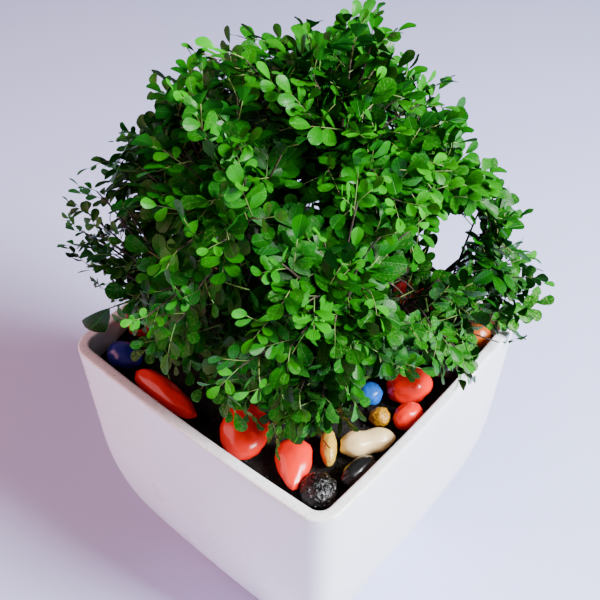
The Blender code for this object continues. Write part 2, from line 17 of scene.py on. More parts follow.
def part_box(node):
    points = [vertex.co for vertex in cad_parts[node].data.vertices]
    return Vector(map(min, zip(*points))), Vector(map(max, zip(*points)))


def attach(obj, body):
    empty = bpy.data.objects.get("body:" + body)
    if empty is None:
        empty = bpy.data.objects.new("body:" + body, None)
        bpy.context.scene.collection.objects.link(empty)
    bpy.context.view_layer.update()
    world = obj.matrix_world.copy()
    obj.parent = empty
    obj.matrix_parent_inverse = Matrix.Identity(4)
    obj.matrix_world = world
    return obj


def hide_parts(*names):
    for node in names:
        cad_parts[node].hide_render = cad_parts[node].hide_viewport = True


bl_info = {
    "name": "Potted orange jasmine",
    "version": (1, 0, 0),
    "blender": (4, 5, 0),
    "location": "View3D > Sidebar > Jasmine",
    "description": "Builds a potted orange jasmine with dyed pebbles around its packed part",
    "category": "Add Mesh",
}

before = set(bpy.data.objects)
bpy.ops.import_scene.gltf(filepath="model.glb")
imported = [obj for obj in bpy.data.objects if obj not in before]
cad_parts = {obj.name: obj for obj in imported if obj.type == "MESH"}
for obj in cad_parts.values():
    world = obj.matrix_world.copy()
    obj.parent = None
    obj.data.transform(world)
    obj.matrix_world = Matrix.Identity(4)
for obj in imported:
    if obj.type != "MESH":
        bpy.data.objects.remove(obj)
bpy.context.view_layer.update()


def metres(*rows):
    """Rows of millimetres as rows of metres."""
    return tuple(tuple(value / 1000 for value in row) for row in rows)


# Pot: everything follows from the rim's side and the height, as in the part.
RIM_SIDE = 0.200
POT_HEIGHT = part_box("pot")[1][2]
WALL = 0.034 * RIM_SIDE
CORNER_RADIUS = 0.068 * RIM_SIDE
SIDE_BOW = 0.0127 * RIM_SIDE
SIDE_LEAN = 0.026
CURVE_START = 0.411 * RIM_SIDE
CURVE_SPAN = 0.811 * RIM_SIDE
CURVE_IN = 0.379 * RIM_SIDE
EDGE_ROUND = 0.0016
FOOT_ROUND = 0.0025
FLOOR = 0.008
CORNER_STEPS = 10
SIDE_STEPS = 14
WALL_LEVELS = 26
ROUND_STEPS = 4
RING_SPACING = 0.010

# Soil: the top lies under the rim, with a crown round the stems and a mound at the -X wall.
GAP = 0.0003
SOIL_DEPTH = 0.019
CROWN_RISE = 0.004
CROWN_RADIUS = 0.045
MOUND_PLACE = (-0.090, -0.050)
MOUND_RISE = 0.008
MOUND_RADIUS = 0.024
SOIL_RINGS = 46
SOIL_LEVELS = 6
SOIL_LUMPS = 0.0016
SOIL_EDGE_CLEAR = 0.004
CRUMB_SIZES = (0.0006, 0.0022)

# Stones: name, dye, place on the soil, half sizes, turn in degrees, taper, waist and roughness.
PEBBLES = (
    ("dark_blue", "dark_blue", (-75, -79), (12, 10, 8.5), 20, 0.1, 0, 0.05),
    ("red_long", "red", (-34, -83.5), (26, 9.3, 8.5), -2, 0.2, 0, 0.04),
    ("red_egg", "red", (22.5, -75), (18.5, 16, 11.5), -50, 0.2, 0, 0.03),
    ("red_pointed", "red", (57.5, -73), (17, 14.5, 10.5), -50, 0.6, 0, 0.05),
    ("rough_black", "black", (79, -77.5), (11.5, 10.8, 9), -50, 0, 0, 0.14),
    ("thin_yellow", "ochre", (65, -51.5), (12, 5.2, 8), -50, 0.1, 0, 0.05),
    ("cream_waisted", "cream", (79, -33.5), (16.5, 10, 9), 55, 0.25, 0.2, 0.02),
    ("smooth_black", "black", (87, -53), (13, 6.5, 7), 84, 0, 0, 0.03),
    ("ochre", "ochre", (73.5, -14), (6.8, 6, 6.5), 30, 0, 0, 0.12),
    ("bright_blue", "blue", (58.5, -4), (8, 7.5, 7), 0, 0, 0, 0.08),
    ("red_upper", "red", (74, 14), (14.5, 11.5, 10), 60, 0, 0, 0.04),
    ("red_lower", "red", (86.2, -4), (10, 8, 8.5), 80, 0.1, 0, 0.04),
    ("orange", "orange", (81.5, 77), (10, 8, 8.5), 40, 0, 0, 0.06),
    ("red_back", "red", (32.5, 82), (16, 10.5, 10), 15, 0.1, 0, 0.05),
    ("red_wall", "red", (-83.5, -50), (15, 8.5, 9.5), 82, 0.1, 0, 0.05),
    ("black_right", "black", (82, 45), (15, 10, 9), 80, 0.1, 0, 0.05),
    ("cream_back", "cream", (60, 86), (9, 6, 8), 10, 0, 0, 0.04),
    ("black_back", "black", (0, 83), (15, 10, 9), -8, 0, 0, 0.05),
    ("blue_back", "blue", (-27, 81), (11, 9, 8), 20, 0, 0, 0.05),
    ("red_far", "red", (-52, 82), (12, 10, 9.5), -20, 0.2, 0, 0.05),
    ("ochre_far", "ochre", (-79, 80), (11, 10, 8.5), 40, 0, 0, 0.10),
    ("black_far", "black", (-83, 52), (14, 9.5, 9), 85, 0.1, 0, 0.05),
    ("cream_far", "cream", (-83, 22), (13, 10, 9), 95, 0.1, 0, 0.04),
    ("red_side", "red", (-82, -10), (14, 10.5, 10), 80, 0.15, 0, 0.05),
)
# Full colour, darker clouds and lighter patches of each dye.
DYES = {
    "red": ((0.24, 0.0003, 0.0001), (0.15, 0.0002, 0.0001), (0.38, 0.020, 0.001)),
    "black": ((0.002, 0.002, 0.002), (0.001, 0.001, 0.001), (0.012, 0.011, 0.010)),
    "cream": ((0.60, 0.40, 0.12), (0.46, 0.28, 0.06), (0.68, 0.52, 0.24)),
    "ochre": ((0.50, 0.24, 0.006), (0.28, 0.12, 0.004), (0.58, 0.34, 0.03)),
    "blue": ((0.001, 0.07, 0.52), (0.001, 0.02, 0.24), (0.01, 0.16, 0.62)),
    "dark_blue": ((0.003, 0.005, 0.14), (0.001, 0.002, 0.04), (0.010, 0.015, 0.22)),
    "orange": ((0.66, 0.10, 0.004), (0.40, 0.03, 0.002), (0.70, 0.20, 0.02)),
}
# Roughness, shine, coat and its roughness, how far pits and the pale spots of painted glints show, and the
# grain's scale, strength and depth, of rough stones and of smooth ones.
ROUGH_POLISH = (0.32, 0.35, 0.2, 0.20, 0.7, 0.50, 380.0, 0.9, 0.0016)
SMOOTH_POLISH = (0.30, 0.12, 0.5, 0.04, 0.25, 0.04, 160.0, 0.18, 0.0008)
WAIST_SPAN = 0.35
WEAR_SCALE = 1.7
WEAR_SHIFT = 3.1
LUMP_SCALE = 2.6
LUMP_HEIGHT = 0.07
PIT_SCALE = 9.0
PIT_DEPTH = 1.1
ROUGH_STONE = 0.09

# Bush: a dome over the pot. Bearings are from +X, and PHOTO_SIDE is the photograph's right-hand side.
PHOTO_SIDE = radians(39.86)
BUSH_LEVEL = POT_HEIGHT + 0.060
BUSH_MIDDLE = Vector((0, 0, BUSH_LEVEL))
WIDE_BEARING = radians(220)
GOLDEN_TURN = radians(137.5)

# Stems, as in the part: they rise from holes in the soil to points inside the dome.
PART_RADIUS = 0.138
PART_RISE = 0.182
PART_EXTRA = 0.016
STEM_COUNT = 10
STEM_LOWEST = -0.10
STEM_REACH = 0.66
BASE_RING = (0.012, 0.050)
AXIS_STEPS = 6
BURIED = 0.030
STRAIGHT_RISE = 0.004
KNEE_SHARE = 0.45
SHOOT_BASE = (0.046, 0.038)
SHOOT_TIP = (0.102, 0.085, POT_HEIGHT + 0.100)
FAN_POINT = Vector((0, 0, POT_HEIGHT + 0.015))

# Twigs: outer and inner ones end at shares of the dome's reach, and outer ones are left out or moved by
# two sizes of noise. A tip outside the bush's outline is drawn in by steps. Sprays end short of their
# places because their last leaves reach on, and the side shoot's leave its stem under its fork.
OUTER_REACHES = (0.86, 1.0)
INNER_REACHES = (0.50, 0.72)
INNER_TURN = 0.7
CLUMP_SCALE = 30.0
UNEVEN_SCALE = 22
UNEVEN_REACH = 0.10
DRAW_STEPS = 16
DRAW_SHARE = 0.04
SPRAY_REACH = 0.94
SHOOT_REACH = 0.90
SHOOT_FORK = 0.66
SHOOT_LOWEST = 0.25
SHOOT_DROP = 0.18

# Where a twig leaves its stem, as a share of the stem that falls with the twig's reach, and its bend.
FORKS = (0.30, 0.95)
FORK_START = 0.97
FORK_FALL = 4.2
FORK_APART = (0.85, 1.0)
TWIG_LIFT = (0.004, 0.014)
SHOOT_LIFT = (0.002, 0.008)

# Wood: radii at the start and the end, sides and steps.
STEM_RADII = (0.0034, 0.0013)
STEM_SIDES = 8
STEM_STEPS = 14
TWIG_RADII = (0.0005, 0.0004)
TWIG_THICKENING = 0.005
TWIG_SIDES = 5
TWIG_STEPS = 6

# Sprays that stand out of the dome in the photograph, and the low ones that lean over the stones in
# front: across to its right, towards the camera and up from the rim, from the pot's middle.
DOME_SPRAYS = metres(
    (38, 0, 212), (26, 6, 210), (48, -6, 206), (-34, 0, 202), (-44, 6, 196), (-4, 0, 206), (6, 10, 200),
    (-60, 0, 184), (-70, 4, 178), (-76, 10, 162), (-92, 0, 146), (-108, 0, 130), (-122, 0, 116),
    (-118, 20, 98), (-138, 0, 86), (-134, 10, 64), (-124, 20, 48), (-110, 30, 30), (-128, 8, 76),
    (-114, 12, 50), (-128, 2, 64), (-121, 4, 54), (-119, 6, 40), (-113, 10, 32), (-108, 14, 22),
    (-120, -4, 72), (-112, 4, 65), (-128, -2, 96), (66, 0, 180), (80, 0, 158), (98, 0, 138), (108, 0, 126),
    (72, 10, 168), (60, 16, 176), (84, 12, 142), (76, 24, 150), (104, 6, 128), (92, 14, 124),
    (78, 34, 132), (64, 40, 152),
)
FRONT_SPRAYS = metres(
    (-32, 82, 14), (-19, 96, 14), (-8, 108, 14), (3, 112, 16), (10, 104, 18), (26, 88, 14), (36, 82, 16),
    (1, 90, 22), (-16, 80, 20), (-40, 74, 22), (18, 84, 30), (30, 72, 28), (32, 78, 12), (44, 70, 14),
    (50, 56, 16), (20, 94, 14), (-80, 96, 100), (-74, 100, 108), (12, 110, 22), (20, 102, 20),
)
SHOOT_SPRAYS = metres(
    (101, 0, 108), (119, 0, 106), (126, 4, 100), (122, -6, 88), (143, 0, 62), (136, 12, 58), (150, 0, 44),
    (146, 8, 36), (138, 20, 30), (128, 28, 40), (120, 36, 26), (112, 44, 18), (108, 30, 40), (100, 52, 28),
    (118, -20, 56), (132, -16, 44), (120, 10, 66), (104, 40, 34), (96, 60, 18), (140, -10, 26),
    (116, 0, 98), (122, -2, 93), (109, 2, 90), (126, 6, 78),
)

# A large leaf that hangs over the pot's left corner, painted dark as shade: where it leaves its twig, and
# its tip.
CORNER_LEAF = metres((-112, 12, 30), (-130, 12, 8))
CORNER_LEAF_WIDTH = 0.56
# The corner leaf's look: darker by painted shade, less young and less dry.
CORNER_LEAF_SHADE_LOOK = (-0.5, -0.2, -0.2, 0)

# The bush's outline in the photograph and the gaps seen in it, one beside the side shoot and two in
# front of stones: across to the right and up from the rim, on the upright plane through the pot's
# middle that faces the camera.
BUSH_OUTLINE = metres(
    (-145, 86), (-131, 100), (-125, 115), (-118, 125), (-107, 131), (-94, 147), (-83, 153), (-76, 163),
    (-79, 172), (-72, 183), (-61, 186), (-54, 195), (-44, 203), (-34, 208), (-25, 202), (-18, 197),
    (-9, 208), (0, 211), (9, 204), (16, 206), (22, 217), (44, 218), (56, 207), (59, 195), (71, 181),
    (79, 170), (85, 154), (102, 140), (115, 124), (104, 114), (123, 111), (129, 94), (123, 80), (145, 68),
    (156, 30), (145, 16), (144, -11), (131, -13), (119, -45), (111, -61), (92, -60), (82, -49), (75, -56),
    (65, -44), (59, -58), (51, -46), (40, -46), (52, -110), (22, -113), (17, -140), (-18, -144),
    (-26, -106), (-50, -104), (-51, -57), (-64, -78), (-74, -59), (-76, -45), (-108, -47), (-115, -18),
    (-118, 20), (-126, 45), (-142, 55), (-146, 72),
)
SEEN_GAPS = (
    metres((94, 106), (99, 80), (97, 65), (93, 54), (82, 47), (68, 66), (76, 83), (83, 92), (88, 102)),
    metres((52, 48), (68, 48), (78, 28), (72, 6), (55, 8)),
    metres((104, 4), (112, 11), (121, 4), (124, -8), (118, -18), (107, -15)),
)

# Dark hollows seen between the outer leaves: across, up from the rim, and radius, on the same plane.
SEEN_HOLLOWS = metres(
    (-19, 157, 11), (-8, 133, 12), (0, 113, 12), (0, 100, 10), (11, 127, 9), (52, 156, 9),
    (-41, 26, 12), (-59, 0, 12), (50, 70, 9), (-62, 128, 9), (-30, 62, 9), (20, 30, 9),
)
HOLLOW_SHARE = 0.85

# The sparse side: left of one place and under another in the photograph, its leaves are small and painted
# dark as shade.
SPARSE_SIDE = (-0.082, 0.104)
SPARSE_SHARE = 0.42
SPARSE_SIZE = 0.70

# Leaflets: their fold, curl and sway, the arch of their middle and the rounding of their tip. Then the
# tone, youth and dryness of one before its place in the bush is known: middle and spread.
FOLD = (0.10, 0.32)
CURL = (-0.05, 0.28)
SWAY = (-0.08, 0.08)
ARCH = 0.08
TIP_ROUNDING = 0.13
LEAFLET_LOOK = ((0.50, 0.10), (0.20, 0.04), (0.20, 0.10))

# Compound leaves: numbers of leaflets, shapes of each number, the rib and its droop, the places of the
# side leaflets along it, their size, and the leaflets' turns in degrees.
LEAFLET_COUNTS = (3, 5, 7)
SHAPES_OF_EACH = 6
RIB_SHARES = (0.55, 0.11)
RIB_RADII = (0.00042, 0.00026)
SIDE_LEAFLET_SIZE = (0.74, 0.22)
LEAFLET_APART = (0.88, 1.10)
DROOP = (0.05, 0.22)
LEAFLET_PLACES = (0.30, 0.62)
LEAFLET_TURN = (48, 68)
LEAFLET_PITCH = (-22, 8)
LEAFLET_ROLL = (-24, 24)

# Leaves on a twig: how far they go back from its tip, their spacing, their lean in degrees and their
# size, how much both fall towards the tip, and how far turn, lean and size differ from leaf to leaf.
# Leaves near the tip, and a share of the others, have few leaflets. All stay this clear of the rim.
LEAFY_SHARE = 0.85
LEAFY_LENGTH = 0.052
LEAF_SPACING = 0.0062
FEWEST_LEAVES = 5
LEAN = (72, 50)
LEAF_SIZE = (1.04, 0.38)
TURN_APART = 0.4
LEAN_APART = (0.85, 1.15)
SIZE_APART = (0.78, 1.18)
FULL_UP_TO = 0.45
FEW_FROM = 0.9
FEW_SHARE = 0.15
RIM_CLEAR = 0.006

# How far a leaf's upper side faces along its twig, back to it, out of the bush and up, and at random.
FACE_WEIGHTS = (0.9, 0.3, 0.5, 0.55)
FACE_WOBBLE = 0.35

# Low and high leaves of the bush. Then a leaf's tone, from its darkest green to green: at random, with
# painted light that makes it lighter when high, painted shade that makes it darker when low, and more
# painted shade inside the bush and on the sparse side. How young: at the start, its gain, the gain when
# high, and from which share of the twig. How dry: at the start and when low.
LOW_BAND = (POT_HEIGHT + 0.015, POT_HEIGHT + 0.075)
HIGH_BAND = (BUSH_LEVEL, BUSH_LEVEL + 0.10)
TONE_AND_PAINTED_LIGHT = (0.50, 0.28, 0.15, 0.60)
YOUNG = (-0.16, 0.40, 0.45, 0.55)
YOUNG_APART = (0.1, 1.7)
DRY = (-0.12, 0.65)

# Camera: fitted to the rim's corners and the pot's outline in the photograph, 600 pixels square.
CAMERA_PLACE = (0.2431, -0.2908, 0.6022)
CAMERA_PITCH = radians(43.51)
CAMERA_ROLL = radians(0.34)
CAMERA_LENS = 52.2
SENSOR = 36.0

# Stage: a small strong lamp on the right, a wide pink one on the left, and the line beyond which the
# floor is bluer, where a wall would stand.
KEY_PLACE = (1.10, 0.30, 1.15)
KEY_SIZE = 0.60
KEY_COLOUR = (0.95, 0.97, 1.0)
FILL_PLACE = (-0.9, -0.9, 0.7)
FILL_SIZE = 1.4
FILL_COLOUR = (1.0, 0.42, 0.42)
SKY_COLOUR = (0.92, 0.82, 0.98)
FLOOR_REACH = 6.0
WALL_LINE = 0.42
BEYOND_COLOUR = (0.58, 0.62, 0.98)


def colour_setting(name, description, default):
    return FloatVectorProperty(name=name, description=description, subtype="COLOR", size=3, default=default)


def length_setting(name, description, default):
    return FloatProperty(name=name, description=description, unit="LENGTH", default=default)


class JasminePot(bpy.types.PropertyGroup):
    """Finish of the glazed pot."""

    glaze: colour_setting("Glaze", "Colour of the glaze", (0.88, 0.88, 0.90))
    roughness: FloatProperty(name="Roughness", description="How matt it is", min=0, max=1, default=0.30)


class JasmineSoil(bpy.types.PropertyGroup):
    """Colour and crumbs of the soil."""

    crumbs: IntProperty(name="Crumbs", description="Loose crumbs on the soil", min=0, default=1500)
    dark: colour_setting("Dark", "Damp soil", (0.002, 0.0015, 0.001))
    light: colour_setting("Light", "Dry crumbs", (0.018, 0.011, 0.006))


class JasmineBush(bpy.types.PropertyGroup):
    """Size and fullness of the bush."""

    radius: length_setting("Radius", "Reach of the dome", 0.112)
    extra: length_setting("Wider side", "Extra reach on the wide side", 0.010)
    rise: length_setting("Rise", "Height of the dome", 0.140)
    fullness: FloatProperty(name="Fullness", description="2 is round, less is pointed", default=1.85)
    twigs: IntProperty(name="Twigs", description="Outer twigs of the dome", min=1, default=235)
    hollows: FloatProperty(name="Hollows", description="Nearer to 0 leaves out more twigs", default=-0.20)
    inner_twigs: IntProperty(name="Inner twigs", description="Twigs inside the dome", min=0, default=60)
    lowest: FloatProperty(name="Lowest", description="Height share of the lowest twigs", default=-0.26)
    seed: IntProperty(name="Seed", description="Another seed grows another bush", default=7)


class JasmineLeaves(bpy.types.PropertyGroup):
    """Size and colours of the leaves."""

    length: length_setting("Leaflet length", "Length of a full leaflet", 0.0125)
    width: length_setting("Leaflet width", "Width of a full leaflet", 0.0080)
    rib: length_setting("Rib", "Length of a leaf's rib", 0.0200)
    # Deep green is the colour of old leaves and also of the painted shade on low, inner and sparse-side
    # leaves.
    deep_and_shade: colour_setting("Deep green", "Old leaves", (0.0003, 0.012, 0.0003))
    green: colour_setting("Green", "Full leaves", (0.0003, 0.090, 0.0003))
    young: colour_setting("Young", "Leaves at the tips", (0.035, 0.46, 0.001))
    vein: colour_setting("Veins", "Rib and veins", (0.015, 0.22, 0.006))
    under: colour_setting("Underside", "Lower side", (0.006, 0.070, 0.004))


class JasmineStage(bpy.types.PropertyGroup):
    """Floor and light."""

    floor: colour_setting("Floor", "Colour of the floor", (0.60, 0.66, 0.98))
    key: FloatProperty(name="Key light", description="Power of the key light", unit="POWER", default=104.0)
    fill: FloatProperty(name="Fill light", description="Power of the fill light", unit="POWER", default=24.0)
    sky: FloatProperty(name="Sky", description="Strength of the light all round", default=0.21)


def finished_object(name, bm, materials, smooth=True):
    """A named object made from a bmesh, which has every point in its place."""
    mesh = held_mesh(name, bm)
    for material in materials:
        mesh.materials.append(material)
    if smooth:
        mesh.shade_smooth()
    item = bpy.data.objects.new(name, mesh)
    bpy.context.scene.collection.objects.link(item)
    return item


def dressed(item, slot, *nodes):
    """Let a piece ride on the part and stand for its nodes, which it hides. The slot is not used."""
    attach(item, "root")
    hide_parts(*nodes)


def new_material(name, roughness, **sockets):
    """A material with its node tree and its Principled shader."""
    material = bpy.data.materials.new(name)
    material.use_nodes = True
    shader = material.node_tree.nodes["Principled BSDF"]
    shader.inputs["Roughness"].default_value = roughness
    for socket, value in sockets.items():
        shader.inputs[socket.replace("_", " ")].default_value = value
    return material, material.node_tree, shader


def add_node(tree, kind, settings=(), **inputs):
    """A shader node with its settings, whose inputs take a value or a link from another socket."""
    made = tree.nodes.new("ShaderNode" + kind)
    for name, value in dict(settings).items():
        setattr(made, name, value)
    for name, value in inputs.items():
        feed(tree, made.inputs[name.replace("_", " ")], value)
    return made


def feed(tree, socket, value):
    """Link another socket to this one, or set its value."""
    if isinstance(value, bpy.types.NodeSocket):
        tree.links.new(value, socket)
    else:
        socket.default_value = value


def arithmetic(tree, operation, first, second=0.0):
    made = add_node(tree, "Math", {"operation": operation})
    feed(tree, made.inputs[0], first)
    feed(tree, made.inputs[1], second)
    return made.outputs[0]


def times(tree, first, second):
    return arithmetic(tree, "MULTIPLY", first, second)


def blend_colours(tree, mask, first, second):
    """A colour that goes from the first to the second where the mask is 1."""
    made = add_node(tree, "Mix", {"data_type": "RGBA"})
    feed(tree, made.inputs["Factor"], mask)
    for socket, colour in ((made.inputs["A"], first), (made.inputs["B"], second)):
        feed(tree, socket, colour if isinstance(colour, bpy.types.NodeSocket) else (*colour, 1.0))
    return made.outputs["Result"]


def tinted(tree, shade, mask, strength, colour):
    """A shade that goes towards a colour by the mask times a strength."""
    return blend_colours(tree, times(tree, mask, strength), shade, colour)


def rescaled(tree, value, low, high, to_low=0.0, to_high=1.0):
    """A value moved from one range to another and kept inside it."""
    ranges = {"From_Min": low, "From_Max": high, "To_Min": to_low, "To_Max": to_high}
    return add_node(tree, "MapRange", {"clamp": True}, Value=value, **ranges).outputs["Result"]


def mottle_group():
    """Node group: a soft mask of blotches at a scale, sharper where low and high are near each other."""
    name = "Mottle"
    if name in bpy.data.node_groups:
        return bpy.data.node_groups[name]
    group = bpy.data.node_groups.new(name, "ShaderNodeTree")
    for label, default in (("Scale", 50.0), ("Detail", 3.0), ("Low", 0.35), ("High", 0.65)):
        socket = group.interface.new_socket(name=label, in_out="INPUT", socket_type="NodeSocketFloat")
        socket.default_value = default
    group.interface.new_socket(name="Mask", in_out="OUTPUT", socket_type="NodeSocketFloat")
    given = group.nodes.new("NodeGroupInput").outputs
    place = add_node(group, "TexCoord").outputs["Object"]
    cloud = add_node(group, "TexNoise", Vector=place, Scale=given["Scale"], Detail=given["Detail"])
    mask = rescaled(group, cloud.outputs["Fac"], given["Low"], given["High"])
    group.links.new(mask, group.nodes.new("NodeGroupOutput").inputs["Mask"])
    return group


def mottle(tree, scale, detail=3.0, low=0.35, high=0.65):
    sockets = {"Scale": scale, "Detail": detail, "Low": low, "High": high}
    return add_node(tree, "Group", {"node_tree": mottle_group()}, **sockets).outputs["Mask"]


def bumped(tree, shader, height, strength, distance):
    """Feed a height to the shader's normal through a bump."""
    bump = add_node(tree, "Bump", Height=height, Strength=strength, Distance=distance)
    tree.links.new(bump.outputs["Normal"], shader.inputs["Normal"])


def glaze_material(settings):
    """White glaze: a little uneven in shine, with specks of soil near the rim and greyer low down."""
    matt = settings.roughness
    material, tree, shader = new_material("white_glaze", matt, Coat_Weight=0.25, Coat_Roughness=0.12)
    cloudy = [value * tint for value, tint in zip(settings.glaze, (0.95, 0.95, 0.97))]
    shade = blend_colours(tree, mottle(tree, 14.0), settings.glaze, cloudy)
    place = add_node(tree, "TexCoord").outputs["Object"]
    height = add_node(tree, "SeparateXYZ", Vector=place).outputs["Z"]
    near_rim = rescaled(tree, height, POT_HEIGHT - 0.0030, POT_HEIGHT - 0.0006)
    grime = times(tree, mottle(tree, 160.0, 5.0, 0.50, 0.72), near_rim)
    shade = tinted(tree, shade, grime, 0.22, (0.36, 0.33, 0.30))
    specks = times(tree, mottle(tree, 900.0, 2.0, 0.66, 0.70), near_rim)
    shade = tinted(tree, shade, specks, 0.75, (0.05, 0.04, 0.03))
    # Greyer towards the foot.
    greyer_low_down = times(tree, mottle(tree, 60.0, 4.0), rescaled(tree, height, 0.030, 0.0))
    shade = tinted(tree, shade, greyer_low_down, 0.25, (0.50, 0.48, 0.46))
    tree.links.new(shade, shader.inputs["Base Color"])
    polish = rescaled(tree, mottle(tree, 35.0, 4.0), 0, 1, matt - 0.05, matt + 0.08)
    tree.links.new(polish, shader.inputs["Roughness"])
    bumped(tree, shader, mottle(tree, 110.0, 2.0, 0.2, 0.8), 0.06, 0.0004)
    return material


def soil_material(settings):
    """Damp dark soil with dry lighter crumbs."""
    material, tree, shader = new_material("dark_soil", 0.9, Specular_IOR_Level=0.3)
    shade = blend_colours(tree, mottle(tree, 420.0, 5.0, 0.52, 0.74), settings.dark, settings.light)
    shade = blend_colours(tree, mottle(tree, 1300.0, 2.0, 0.72, 0.76), shade, (0.10, 0.07, 0.04))
    tree.links.new(shade, shader.inputs["Base Color"])
    tree.links.new(rescaled(tree, mottle(tree, 90.0), 0, 1, 0.62, 0.96), shader.inputs["Roughness"])
    bumped(tree, shader, mottle(tree, 700.0, 4.0, 0.2, 0.8), 0.8, 0.0008)
    return material


def stone_material(dye, rough):
    """Dyed stone: cloudy colour, darker in its pits, under a wet polish that is duller on rough ones, with
    pale spots painted as glints, most on rough ones.
    """
    name = "stone_" + dye + ("_rough" if rough else "")
    if name in bpy.data.materials:
        return bpy.data.materials[name]
    full, dark, light = DYES[dye]
    polish = ROUGH_POLISH if rough else SMOOTH_POLISH
    matt, shine, coat, coat_matt, pitted, painted_glints, grain, strength, depth = polish
    material, tree, shader = new_material(
        name, matt, Specular_IOR_Level=shine, Coat_Weight=coat, Coat_Roughness=coat_matt
    )
    shade = tinted(tree, full, mottle(tree, 120.0, 5.0, 0.35, 0.75), 0.8, dark)
    shade = tinted(tree, shade, mottle(tree, 75.0, 4.0, 0.56, 0.66), 0.75, light)
    shade = tinted(tree, shade, mottle(tree, 650.0, 3.0, 0.60, 0.70), pitted, dark)
    # Pale spots painted on the stone as glints of light.
    pale = [0.35 + 0.45 * value for value in full]
    shade = tinted(tree, shade, mottle(tree, 420.0, 4.0, 0.66, 0.70), painted_glints, pale)
    tree.links.new(shade, shader.inputs["Base Color"])
    bumped(tree, shader, mottle(tree, grain, 4.0, 0.1, 0.9), strength, depth)
    return material


def leaf_material(settings):
    """Waxy leaflets: colour by age and by painted light and shade from their place in the bush, pale rib and
    veins along the leaflet's own map, duller underneath.
    """
    material, tree, shader = new_material("jasmine_leaf", 0.30, Specular_IOR_Level=0.12)
    look = add_node(tree, "Attribute", {"attribute_name": "look"})
    kinds = add_node(tree, "SeparateColor", Color=look.outputs["Color"])
    tone_and_painted_light, youth, dry = (kinds.outputs[name] for name in ("Red", "Green", "Blue"))
    # The red channel of the look mixes the darkest green to green: random tone, painted light high up,
    # painted shade low down, inside the bush and on the sparse side.
    shade = blend_colours(tree, tone_and_painted_light, settings.deep_and_shade, settings.green)
    shade = blend_colours(tree, youth, shade, settings.young)
    spot = add_node(tree, "UVMap", {"uv_map": "leaf"})
    axes = add_node(tree, "SeparateXYZ", Vector=spot.outputs["UV"])
    aside = arithmetic(tree, "ABSOLUTE", arithmetic(tree, "SUBTRACT", axes.outputs["Y"], 0.5))
    slope = arithmetic(tree, "SUBTRACT", axes.outputs["X"], times(tree, aside, 0.55))
    veins = rescaled(tree, arithmetic(tree, "SINE", times(tree, slope, 44.0)), 0.78, 1.0)
    rib = rescaled(tree, aside, 0.045, 0.012)
    rim = rescaled(tree, aside, 0.44, 0.50)
    for mask, strength in ((veins, 0.16), (rib, 0.40), (rim, 0.25)):
        shade = tinted(tree, shade, mask, strength, settings.vein)
    flecks = times(tree, mottle(tree, 900.0, 3.0, 0.50, 0.64), dry)
    shade = blend_colours(tree, flecks, shade, (0.20, 0.36, 0.08))
    back = add_node(tree, "NewGeometry").outputs["Backfacing"]
    shade = tinted(tree, shade, back, 0.6, settings.under)
    tree.links.new(shade, shader.inputs["Base Color"])
    wax = rescaled(tree, mottle(tree, 300.0), 0, 1, 0.24, 0.42)
    dull = arithmetic(tree, "ADD", wax, times(tree, back, 0.25))
    tree.links.new(dull, shader.inputs["Roughness"])
    relief = arithmetic(tree, "ADD", times(tree, rib, -1.0), times(tree, veins, -0.35))
    bumped(tree, shader, relief, 0.5, 0.0003)
    return material


def stalk_material():
    """Green ribs and leaf stalks, browner in places."""
    material, tree, shader = new_material("leaf_stalk", 0.45)
    shade = blend_colours(tree, mottle(tree, 160.0), (0.10, 0.24, 0.04), (0.17, 0.20, 0.05))
    tree.links.new(shade, shader.inputs["Base Color"])
    return material


def bark_material():
    """Grey-brown bark with fine fissures and paler patches."""
    material, tree, shader = new_material("jasmine_bark", 0.8)
    shade = blend_colours(tree, mottle(tree, 260.0, 5.0), (0.014, 0.009, 0.005), (0.060, 0.042, 0.022))
    shade = blend_colours(tree, mottle(tree, 90.0, 3.0, 0.60, 0.74), shade, (0.12, 0.11, 0.06))
    tree.links.new(shade, shader.inputs["Base Color"])
    bumped(tree, shader, mottle(tree, 800.0, 4.0, 0.2, 0.8), 0.7, 0.0006)
    return material


def floor_material(settings):
    """Pale smooth table, a shade bluer beyond the line where a wall would stand."""
    material, tree, shader = new_material("pale_floor", 0.65, Specular_IOR_Level=0.25)
    cloudy = [value * 0.97 for value in settings.floor]
    shade = blend_colours(tree, mottle(tree, 2.2), settings.floor, cloudy)
    place = add_node(tree, "TexCoord").outputs["Object"]
    parts = add_node(tree, "SeparateXYZ", Vector=place)
    away_x = times(tree, parts.outputs["X"], -sin(PHOTO_SIDE))
    away_y = times(tree, parts.outputs["Y"], cos(PHOTO_SIDE))
    away = arithmetic(tree, "ADD", away_x, away_y)
    beyond = rescaled(tree, away, WALL_LINE - 0.004, WALL_LINE + 0.004)
    shade = blend_colours(tree, beyond, shade, BEYOND_COLOUR)
    tree.links.new(shade, shader.inputs["Base Color"])
    return material


def half_width(depth):
    """Half of the pot's outside width at this depth under the rim."""
    half = RIM_SIDE / 2 - SIDE_LEAN * depth
    if depth > CURVE_START:
        share = (depth - CURVE_START) / CURVE_SPAN
        half -= CURVE_IN * (1 - sqrt(1 - share * share))
    return half


def square_outline(half, corner):
    """Points of a square with round corners and bowed sides, anticlockwise."""
    flat = half - corner
    points = []
    for quarter in range(4):
        turn = Matrix.Rotation(quarter * pi / 2, 2)
        for step in range(CORNER_STEPS + 1):
            angle = pi / 2 * step / CORNER_STEPS
            points.append(turn @ Vector((flat + corner * cos(angle), flat + corner * sin(angle))))
        for step in range(1, SIDE_STEPS):
            points.append(turn @ Vector((flat - 2 * flat * step / SIDE_STEPS, half)))
    bowed = []
    for x, y in points:
        out_x = copysign(SIDE_BOW * (1 - min(1, (y / half) ** 2)), x)
        out_y = copysign(SIDE_BOW * (1 - min(1, (x / half) ** 2)), y)
        bowed.append((x + out_x, y + out_y))
    return bowed


